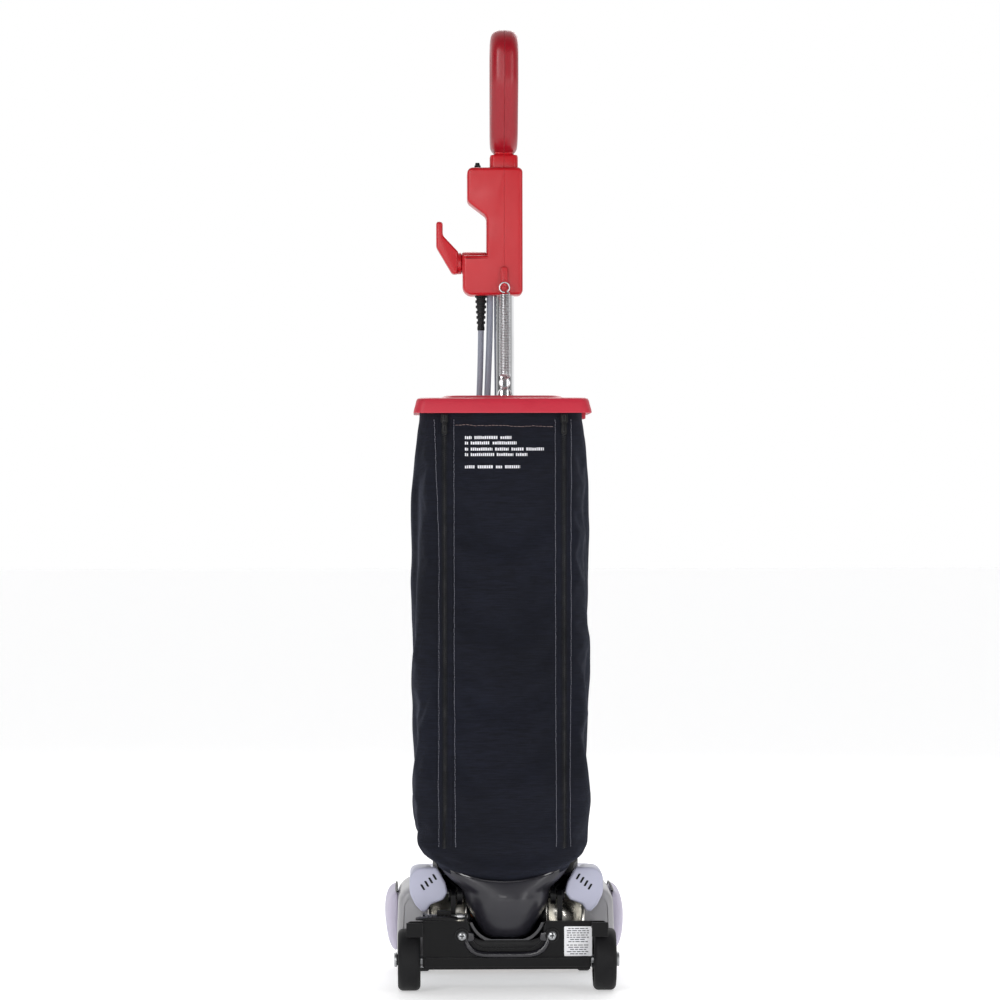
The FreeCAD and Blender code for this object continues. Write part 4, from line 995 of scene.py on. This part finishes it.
def coil_spring(centre, low, high, radius, wire, turns):
    """The close-wound body of a spring."""
    x, y = centre
    path = []
    count = turns * 14
    for k in range(count + 1):
        a = 2 * math.pi * k / 14
        path.append((x + radius * math.cos(a), y + radius * math.sin(a), low + (high - low) * k / count))
    return pipe(path, wire, 6)


def eye(centre, radius, wire, start, sweep):
    """An open wire ring in the XZ plane."""
    x, y, z = centre
    path = []
    for k in range(25):
        a = math.radians(start + sweep * k / 24)
        path.append((x + radius * math.cos(a), y + 0.6 * math.sin(a), z + radius * math.sin(a)))
    return pipe(path, wire, 8)


SPRING_PLACE = (0, -61)
HOOK_AXIS = (0, TUBE_Y, 903)


def spring_shape():
    """Support spring with a hook ring drawn out of each end."""
    x, y = SPRING_PLACE
    body = coil_spring((x, y), 760, 862, 6.5, 1.04, 51)
    upper = eye((x, y, 871), 6.2, 1.0, 300, 335)
    lower = eye((x, y, 751.5), 6.2, 1.0, 120, 335)
    necks = merged(
        pipe([(6.4, y, 862), (5.2, y, 864.4), (2.5, y, 865.4)], 1.0, 8),
        pipe([(6.4, y, 760), (5.0, y, 758.4), (1.5, y, 757.6)], 1.0, 8),
    )
    return merged(body, upper, lower, necks)


def staple_shape():
    """Wire loop in the lid that the spring hooks into, with its two washers."""
    y = SPRING_PLACE[1]
    wire = mirrored([(-9, y, 731), (-9, y, 736), (-7, y, 741), (-2.4, y, 745.4)])
    profile = [(0.5, 0), (4.2, 0), (4.6, 0.5), (4.2, 1.2), (2.0, 1.6), (0.5, 1.6)]
    washers = [lathe(profile, "Z", (x, y, 730), 24) for x in (-9, 9)]
    return merged(pipe(wire, 1.3, 8), *washers)


def housing_shape():
    """Switch housing and cord hook arm, round the top of the tube."""
    return slab("XZ", outline(
        (-46.2, 1022.4, 7), (-46.2, 979.5, 9), (-22, 961, 9),
        (-22, 912), (-52, 912, 3), (-52, 886), (-52, 862, 19),
        (23.2, 862.5, 6), (23.2, 1022.4, 6),
    ), -51.5, -2.5, 4.2, 5)


def barrel_shape():
    """Sleeve in the housing that the upper hook turns in."""
    return lathe([
        (0.5, -53.5), (10.5, -53.5), (12.8, -53), (14.2, -51.4),
        (14.5, -49), (14.5, -24), (12, -21), (0.5, -21),
    ], "X", HOOK_AXIS)


def neck_shape():
    """Waisted socket between the housing and the grip."""
    return stack(0, TUBE_Y, (
        (1018, 17.5, 17), (1024, 17.6, 17), (1036, 17.6, 17),
        (1038.4, 16.8, 16), (1039.2, 13, 15), (1040.8, 11.2, 14.5),
        (1048, 12.5, 15), (1052, 14, 15),
    ), most=6)


def grip_shape():
    """The D-shaped hand grip: a soft-edged section carried round its opening."""
    outer = outline((12, 1039, 26), (12, 1192.5, 38), (-100, 1192.5, 46), (-100, 1124, 30), (-52, 1039, 40))
    inner = outline((-14, 1066, 16), (-14, 1166.5, 20), (-74, 1166.5, 28), (-74, 1130, 18), (-38, 1066, 26))
    rings = []
    for o, i in zip(evenly(outer, 96), evenly(inner, 96)):
        middle, reach = (o + i) / 2, (o - i) / 2
        ring = []
        for k in range(20):
            a = 2 * math.pi * k / 20
            c, s = math.cos(a), math.sin(a)
            across = math.copysign(abs(c) ** 0.85, c)
            aside = math.copysign(abs(s) ** 0.7, s)
            spot = middle + reach * across
            ring.append((17.3 * aside, spot.x, spot.y))
        rings.append(ring)
    return skin(rings + rings[:1], caps=False)


def make_handle():
    build("lid", lid_shape(), "handle", LID_SHEEN_RED, "bag_lid", slot="red_plastic")
    build("lift_spring", spring_shape(), "handle", "spring_steel", "support_spring")
    build("spring_staple", staple_shape(), "handle", "zinc", "lid_staple")
    band = outline((-4.2, 866, 2), (4.2, 866, 2), (4.2, 897, 2.5), (-4.2, 897, 2.5))
    strap = slab("XZ", band, -56.4, -52.2, 1.1)
    marks = [brick((-2.4, -56.9, z), (2.4, -56.1, z + 1.5), 0.25, 0.3) for z in (880, 883.4, 886.8, 890.2)]
    peg = lathe([(0.4, -62.6), (1.6, -62.6), (2.2, -62), (2.2, -55)], "Y", (0, 0, 874.3), 20)
    build("strap", merged(strap, peg, *marks), "handle", "red_plastic", "spring_strap")
    shells = ("handle_shell_left", "handle_shell_right")
    split(build("housing", housing_shape(), "handle", "red_plastic", *shells))
    split(build("neck", neck_shape(), "handle", "red_plastic"))
    split(build("grip", grip_shape(), "handle", GRIP_SHADED_RED, slot="red_plastic"))
    build("hook_barrel", barrel_shape(), "handle", "red_plastic")
    screws = []
    for x, z in ((14, 1012), (14, 940), (-38, 1012), (14, 872)):
        screws.append(lathe([(0.4, -1.6), (3.4, -1.6), (4.2, -2.2), (4.2, -3.5)], "Y", (x, 0, z), 20))
    build("housing_screws", merged(*screws), "handle", "zinc")
    button = outline((-36.4, 1025, 0.5), (-29.8, 1025, 0.5), (-30.4, 1029, 1.4), (-35.8, 1029, 1.4))
    rocker = merged(
        brick((-37, -34.5, 1022.6), (-29, -25.5, 1026), 0.7, 1.2),
        slab("XZ", button, -33.6, -26.4, 0.8),
        *[brick((-35.6, y, 1028.4), (-30.6, y + 0.7, 1029.4), 0.2, 0.2) for y in (-32.6, -31, -29.4, -27.8)],
    )
    build("rocker", rocker, "switch", "black_plastic", "power_switch")
    blade = slab("XZ", outline(
        (-85.2, 955, 3), (-77, 955, 3.5), (-77, 938, 8), (-57.5, 917.2, 4), (-57.5, 889.5, 3),
        (-65, 889, 5), (-85.2, 923, 10),
    ), -39.5, -14.5, 3.0, 4)
    profile = [(0.5, -59), (12.6, -59), (13.6, -58), (13.6, -54.4), (12.8, -53.6), (0.5, -53.6)]
    collar = lathe(profile, "X", HOOK_AXIS)
    cap = lathe([(0.4, -60.4), (5.2, -60.4), (6.4, -59.6), (6.6, -58.2)], "X", HOOK_AXIS, 32)
    build("upper_hook", merged(blade, collar, cap), "hook", "red_plastic", "upper_cord_hook")


# --- base ---------------------------------------------------------------------------------------


# Share of the way from the round bottom to the rim, height at the middle, half width, back, front.
BOOT_ROWS = (
    (0, 61.6, 6, -112, -108), (0, 61.9, 15, -117, -101), (0, 63, 22, -123.5, -93), (0, 66.4, 28, -131, -86),
    (0, 72, 32, -140.5, -79), (0, 80, 36, -149, -73), (0, 90, 42, -156, -66), (0, 100, 48, -160, -60),
    (0, 108, 51, -161.5, -57.5), (0, 114, 52.8, -162, -57),
    (0.16, 0, 53.2, -161.8, -57), (0.3, 0, 53.6, -161.2, -57),
    (0.42, 0, 56.5, -160.4, -57), (0.54, 0, 64, -159.4, -56.5),
    (0.66, 0, 71, -158.4, -55), (0.78, 0, 76.5, -157.2, -52.5),
    (0.9, 0, 81, -156, -50), (1.0, 0, 83.8, -154.6, -47.5),
)


def boot_ring(share, low, half, back, front):
    """One level of the boot, between an oval and a rounded rectangle."""
    middle = PIVOT[0] + 4
    ring = []
    for k in range(88):
        a = 2 * math.pi * k / 88
        c, s = math.cos(a), math.sin(a)
        x = half * math.copysign(abs(c) ** 0.8, c)
        reach = (front if s > 0 else back) - middle
        y = middle + math.copysign(abs(s) ** (1.05 - 0.2 * share), s) * abs(reach)
        z = 112 + (rim_height(x) - 112) * share if share else low
        ring.append((x - 3 * share, y, z))
    return ring


def make_boot():
    rings = [boot_ring(*row) for row in BOOT_ROWS]
    shape = skin(rings, caps=False)
    shape[1].append(list(range(len(rings[0])))[::-1])
    boot = build("boot", shape, "handle", BOOT_SHEEN_BLACK, "bag_boot", slot="black_gloss", sharp=60)
    thicken(boot, 2.4)
    subdivide(boot, 1)
    apply_modifiers(boot)
    rim = [(x * 0.988, y + (0.9 if y < -112 else -0.9), z - 0.2) for x, y, z in rings[-1]]
    build("boot_lip", pipe(rim, 1.9, 8, closed=True), "handle", "black_gloss")


def casting_ring(y, half, top, corner):
    """An arch of the base cover, left foot to right foot."""
    sweep = outline(
        (-half, 24), (-half + 1.0, 60), (-half + 2.5, top, corner),
        (half - 2.5, top, corner), (half - 1.0, 60), (half, 24),
    )
    crown = []
    for p in sweep:
        belly = 1.6 * math.sin(math.pi * min(1, max(0, (p.y - 24) / max(1, top - 24))))
        lift = 1.2 * (1 - (p.x / half) ** 2) if p.y > top - 2 else 0
        crown.append((p.x + math.copysign(belly, p.x), y, p.y + lift))
    return crown


# Place along Y, half width, height of the top, rounding between sides and top.
CASTING_ROWS = (
    (-84, 128, 112, 14), (-83.6, 130.5, 116.5, 16), (-82, 132.8, 120, 18),
    (-78, 134.6, 122.4, 20), (-66, 135.4, 123.4, 20), (0, 135.8, 123.6, 20),
    (60, 135.8, 123.4, 20), (84, 135.8, 121.5, 20), (98, 135.8, 115.5, 20),
    (118, 135.6, 101, 20), (136, 134, 87.5, 18), (146, 131, 78.5, 17),
    (154, 127, 71, 16), (162, 120, 63.5, 14), (168, 112, 57.5, 12), (171.5, 104, 51, 10), (172, 100, 48, 9),
)


def cut_well(data):
    """Open the cover's top behind the hood, so that the handle can swing between its sides."""
    edit = bmesh.new()
    edit.from_mesh(data)
    for place, normal in (((-90, 0, 0), (1, 0, 0)), ((90, 0, 0), (1, 0, 0)), ((0, -38, 0), (0, 1, 0))):
        geometry = [*edit.verts, *edit.edges, *edit.faces]
        bmesh.ops.bisect_plane(edit, geom=geometry, plane_co=Vector(place) * MM, plane_no=normal)
    gap = []
    for face in edit.faces:
        middle = face.calc_center_median() / MM
        if abs(middle.x) < 90 and middle.y < -38 and middle.z > 112:
            gap.append(face)
    bmesh.ops.delete(edit, geom=gap, context="FACES")
    edit.to_mesh(data)
    edit.free()


def make_casting():
    """Cover open below and behind, with a wall on each side of the handle's well."""
    shape = skin([casting_ring(*row) for row in CASTING_ROWS], caps=False, closed=False)
    casting = build("cover_casting", shape, "base", "grey_casting", "base_casting", sharp=40)
    cut_well(casting.data)
    thicken(casting, 2.6)
    apply_modifiers(casting)
    shade(casting.data, 40)
    for hand, way in (("left", 1), ("right", -1)):
        wall = handed(
            way, (-127, 24, 1), (-128, 60, 1), (-126, 110, 12), (-112, 113, 2),
            (-90, 113, 1), (-90, 112, 1), (-53, 112, 2), (-53, 24, 1),
        )
        build(f"cover_wall_{hand}", slab("XZ", wall, -83, -80.4, 0.8, 2), "base", "grey_casting")


def vent_shade_patches(way):
    """Four slanted vents up a lobe, one above the other, as thin black patches of painted shade where the
    openings would be.
    """
    slots = []
    slant = -2.1 * way
    for k in range(4):
        x = way * (103.6 - k * 4.9)
        z = 125.8 + k * 4.2
        slot = outline(
            (x - 1.5 + slant, z - 3.6, 0.8), (x + 1.5 + slant, z - 3.6, 0.8),
            (x + 1.5 - slant, z + 3.6, 0.8), (x - 1.5 - slant, z + 3.6, 0.8),
        )
        slots.append(slab("XZ", slot, -112.25, -110.5, 0.15, 1))
    return merged(*slots)


def make_hood():
    """Top cover with its two lobes, each with four slanted vents shown as black patches of painted shade."""
    plan = outline(
        (-119.5, 60, 24), (-119.5, -108, 4), (-90.5, -108, 4), (-90.5, -40, 5),
        (90.5, -40, 5), (90.5, -108, 4), (119.5, -108, 4), (119.5, 60, 24),
    )
    build("hood_top", slab("XY", plan, 121, 140, 8, 6), "base", "grey_hood", "hood", sharp=50)
    ridges = [brick((-60, y, 138.5), (60, y + 3, 141), 1, 1.4) for y in (-22, -12, -2, 8)]
    build("hood_ribs", merged(*ridges), "base", "grey_hood")
    for hand, way in HANDS:
        lobe = handed(
            way, (-120, 150, 24), (-120, 118, 24), (-112.5, 103, 14), (-101.5, 91.5, 8), (-94, 104, 6),
            (-79, 109.5, 8), (-72.5, 118, 5), (-75.5, 131, 6), (-86, 150, 6),
        )
        build(f"hood_lobe_{hand}", slab("XZ", lobe, -112, -97, 3.6, 4), "base", "grey_hood", sharp=50)
        # Painted shade: black patches on the lobe stand for the dark inside of the vent openings.
        build(f"vent_shade_patches_{hand}", vent_shade_patches(way), "base", "black_plastic")
        shoulder = handed(way, (-120, 150, 24), (-119, 122, 4), (-91, 122, 4), (-91, 150, 8))
        build(f"hood_shoulder_{hand}", slab("XZ", shoulder, -104, -62, 3, 4), "base", "grey_hood", sharp=50)


def bumper_path():
    """Round the casting, from the left end to the right."""
    left = [
        (-135.2, -19), (-136.4, -12), (-136.8, 0),
        *[(-137, y) for y in (30, 60, 90, 120)], (-136.6, 138),
    ]
    for k in range(1, 9):
        a = math.radians(180 - 90 * k / 8)
        left.append((-100 + 36.8 * math.cos(a), 138 + 36.4 * math.sin(a)))
    return mirrored(left + [(-60, 174.4), (-20, 174.4)])


BUMPER_LOW, BUMPER_HIGH, BUMPER_DEPTH = 35.4, 112, 15.3
# Distance out from the path, and height.
BUMPER_PROFILE = (
    (-1.5, 110.5), (1.5, 111.6), (5, 110.6), (9.4, 106.6), (12.6, 100),
    (14.6, 91), (15.3, 80), (14.8, 68), (13.2, 56), (10.4, 46), (6.8, 39),
    (2.5, 35.5), (-1.5, 35.4), (-1.5, 60), (-1.5, 90),
)


def bumper_top(y):
    """The bumper's top edge falls towards the nose."""
    return BUMPER_HIGH - 30 * smooth_step((y - 112) / 64)


def make_bumper():
    """Soft vinyl wrapped round the front and sides, with folds along its lower half."""
    path = [Vector(p) for p in bumper_path()]
    rings = []
    for i, p in enumerate(path):
        before, after = path[max(0, i - 1)], path[min(len(path) - 1, i + 1)]
        way = (after - before).normalized()
        out = Vector((-way.y, way.x))
        ends = min(i, len(path) - 1 - i)
        full = (0.62, 0.8, 0.88, 0.94, 0.97)[ends] if ends < 5 else 1.0
        shrink = (0.86, 0.97)[ends] if ends < 2 else 1.0
        tall = (bumper_top(p.y) - BUMPER_LOW) / (BUMPER_HIGH - BUMPER_LOW)
        ring = []
        for d, z in BUMPER_PROFILE:
            fold = 0
            if d > 4:
                fold = noise.noise(Vector((p.x / 22, p.y / 22, z / 14))) * 1.4 * smooth_step((84 - z) / 20)
            at = p + out * (min(BUMPER_DEPTH, d * full + fold) if d > 0 else d)
            ring.append((at.x, at.y, BUMPER_LOW + (75 + (z - 75) * shrink - BUMPER_LOW) * tall))
        rings.append(ring)
    bumper = build("soft_bumper", skin(rings), "base", "pale_rubber", "bumper", sharp=60)
    subdivide(bumper, 2)
    apply_modifiers(bumper)
    seam = [(p.x, p.y, bumper_top(p.y) - 0.6) for p in path]
    build("bumper_seam", pipe(seam, 1.3, 8), "base", "black_rubber")


def dish_trim(way):
    """Polished dished wall between a lobe and the boot."""
    rings = []
    for i in range(15):
        u = i / 14
        ring = []
        for k in range(13):
            v = k / 12
            x = 50 + 46 * u
            z = 76 + (46 - 8 * u) * v
            y = -88 - 15 * (2 * u - 1) ** 2 - 9 * (2 * v - 0.7) ** 2 + 5 * math.sin(3 * v) * (1 - u)
            ring.append((way * x, max(-107, y), z))
        rings.append(ring)
    return skin(rings, caps=False, closed=False)


REAR_AXLE, REAR_RADIUS = (-127, 38), 38
FRONT_AXLE, FRONT_RADIUS = (73, 20), 20


def wheel_shape(centre, radius, half, hub):
    """Moulded wheel with a rounded tread, dished sides and a hub."""
    edge = radius * 0.17
    profile = [
        (0.5, -half + 2.5), (hub, -half + 2.5), (hub, -half + 0.4), (hub + 1.6, -half + 0.2),
        (hub + 2.6, -half + 1.6), (radius * 0.62, -half + 3.0), (radius * 0.72, -half + 2.0),
        (radius * 0.76, -half + 0.3),
    ]
    for k in range(8):
        a = math.pi / 2 * k / 7
        profile.append((radius - edge + edge * math.sin(a), -half + edge * (1 - math.cos(a))))
    profile += [(r, -along) for r, along in reversed(profile)]
    return lathe(profile, "X", centre, 72)


def make_wheels():
    for hand, way in HANDS:
        rear = wheel_shape((way * 120.5, *REAR_AXLE), REAR_RADIUS, 14, 10)
        build(f"tyre_rear_{hand}", rear, f"rear_wheel_{hand}", "tyre_black", f"rear_wheel_{hand}")
        profile = [(0.4, -2), (6.6, -2), (7.6, 0), (7.0, 1.8), (4, 2.8), (0.4, 3)]
        cap = lathe(profile, "X", (way * 136.4, *REAR_AXLE), 32)
        build(f"hub_cap_{hand}", cap, f"rear_wheel_{hand}", "zinc")
        front = wheel_shape((way * 103, *FRONT_AXLE), FRONT_RADIUS, 8, 5)
        build(f"tyre_front_{hand}", front, f"front_wheel_{hand}", "tyre_black", f"front_wheel_{hand}")


def plate_screw(hand, x):
    """Pan-head screw on its washer, with its cross recess as a black mark of painted shade."""
    place = (x, 0, SCREW_HEIGHT)
    profile = [
        (0.4, -144.2), (2.2, -144.1), (4.2, -143.4),
        (5.4, -142.2), (5.6, -141), (5.6, -139.5), (0.4, -139.5),
    ]
    build(f"plate_screw_{hand}", lathe(profile, "Y", place, 40), "base", "zinc", "rear_plate_screws")
    # Painted shade: a black raised cross stands for the dark of the cross recess.
    cross = []
    for half_x, half_z in ((3.0, 0.7), (0.7, 3.0)):
        low = (x - half_x, -144.3, SCREW_HEIGHT - half_z)
        cross.append(brick(low, (x + half_x, -143, SCREW_HEIGHT + half_z), 0.1, 0.3))
    build(f"screw_cross_shade_{hand}", merged(*cross), "base", "black_plastic")
    washer = [(0.5, -140.8), (7.4, -140.8), (7.8, -140.3), (7.8, -139.4), (0.5, -139.4)]
    build(f"plate_washer_{hand}", lathe(washer, "Y", place, 40), "base", "zinc")


def make_baffles():
    """Dark walls that close the well on both sides of the boot."""
    for hand, way in HANDS:
        wall = handed(
            way, (-55, 42, 1), (-55, 112, 1), (-50.5, 112, 1), (-47.5, 100, 4), (-44, 88, 4), (-39.5, 76, 4),
            (-34, 67, 4), (-30, 60, 2), (-30, 42, 1),
        )
        build(f"well_wall_{hand}", slab("XZ", wall, -80.5, -78, 0.5, 2), "base", "black_paint")


def make_plate():
    """Web, rolled flange, screws and lugs of the rear plate's middle."""
    web = outline(
        (-55, 43.5, 3), (55, 43.5, 3), (55, 81, 2),
        (45.5, 81, 2), (44.5, 67, 6), (30, 62.2, 10), (-30, 62.2, 10),
        (-44.5, 67, 6), (-45.5, 81, 2), (-55, 81, 2),
    )
    build("plate_web", slab("XZ", web, -133.2, -129.5, 0.8), "base", "black_paint")
    bend = (
        (-50.5, 66), (-50, 61), (-47.5, 55.5), (-43, 50.4), (-37, 47), (-29, 45.2), (-18, 44.8), (-6, 44.8),
    )
    thick = [0.55, 0.85, *[1] * 12, 0.85, 0.55]
    build(
        "plate_flange", pipe(mirrored([(x, -139.2, z) for x, z in bend]), 3.6, 12, taper=thick),
        "base", "black_gloss",
    )
    for hand, way in HANDS:
        plate_screw(hand, way * 55.5)
        lug = handed(way, (-52, 74, 2), (-52, 60, 2), (-40, 62.5, 3), (-41, 72, 3))
        build(f"flange_lug_{hand}", slab("XZ", lug, -140.5, -133, 1.4), "base", "black_gloss")
        dish = build(f"dish_{hand}", dish_trim(way), "base", POLISHED, slot="aluminium_part")
        thicken(dish, 1.6)
        apply_modifiers(dish)


def make_label():
    """Blank rating label with unreadable grey marks."""
    sticker = slab("XZ", rectangle(70.6, 42.6, 105, 79.2, 1.4), -136.5, -136.15, 0.1, 1)
    build("blank_label", sticker, "base", LABEL, slot="pale_rubber")
    middle = 87.8
    rows = []
    z = 76.6
    while z > 44.5:
        width = draws.choice((20, 24, 27, 28))
        x = middle - width / 2
        while x < middle + width / 2 - 2:
            step = draws.uniform(2.5, 6)
            end = min(x + step, middle + width / 2)
            rows.append(brick((x, -136.66, z - 0.55), (end, -136.45, z + 0.55), 0.08, 0.2))
            x += step + 1.1
        z -= 2.7 if abs(z - 61) > 1.3 else 4.2
    build("label_lines", merged(*rows), "base", GREY_PRINT, slot="pale_rubber")


def make_pedal():
    """Lens-shaped foot pad with grip ribs, its arm, hub and stop."""
    lever = slab("XZ", outline(
        (-115, 90.6, 0.5), (-108, 92.4, 6), (-88, 93.6, 10), (-66, 93.4, 4), (-60.5, 91.6, 1),
        (-60.5, 89.6, 1), (-70, 88.4, 4), (-98, 88.4, 8), (-106, 89.8, 4),
    ), -162.4, -139, 1.0, 4)
    grips = [brick((x, -161.6, 92.4), (x + 1.6, -141, 94.2), 0.6, 0.7) for x in range(-98, -68, 5)]
    arm = brick((-83, -141, 88.6), (-71, -122, 93.4), 0.8, 1)
    profile = [(0.5, -84), (5.6, -84), (6.2, -83.4), (6.2, -70.6), (5.6, -70), (0.5, -70)]
    hub = lathe(profile, "X", (0, -126, 91), 32)
    build("pedal_pad", merged(lever, *grips, arm, hub), "pedal", "black_plastic", "release_pedal")
    build(
        "pedal_stop", brick((-86.2, -143.5, 91), (-68.8, -135.5, 99.6), 0.8, 1.2),
        "pedal", "black_plastic",
    )


def make_knob():
    """Height knob with twelve finger flutes and a pointer."""
    ring = []
    for k in range(96):
        a = 2 * math.pi * k / 96
        reach = 14.6 - 0.9 * (0.5 + 0.5 * math.cos(12 * a)) ** 6
        ring.append(Vector((reach * math.cos(a), 75 + reach * math.sin(a))))
    grip = slab("XY", ring, 124.6, 137.6, 1.6, 4)
    profile = [(0.4, 138.9), (6, 138.8), (10.5, 138.2), (12.2, 137.2), (12.2, 136), (0.4, 136)]
    top = lathe(profile, "Z", (0, 75, 0), 48)
    mark = brick((-0.8, 76, 138.2), (0.8, 86, 139.0), 0.2, 0.4)
    build("knob_grip", merged(grip, top), "knob", "black_plastic")
    build("knob_mark", mark, "knob", PRINT, slot="black_plastic")


def make_base():
    make_boot()
    make_casting()
    make_hood()
    make_bumper()
    make_wheels()
    make_baffles()
    make_plate()
    make_label()
    make_pedal()
    make_knob()


make_camera()
make_cords()
make_studio()
make_bag()
make_handle()
make_base()
# Painted shade: the trunnion pins and rear chassis are coloured black so that they sink into the shade round
# them.
SHADE_BLACK_LOOKS = {"trunnion_pins": "black_plastic", "rear_chassis": "black_paint"}
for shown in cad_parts.values():
    if not shown.hide_render:
        own = shown.data.materials[0].name.split(".")[0] if shown.data.materials else "zinc"
        finish_node(shown, LOOKS[SHADE_BLACK_LOOKS.get(shown.name, own if own in LOOKS else "zinc")])
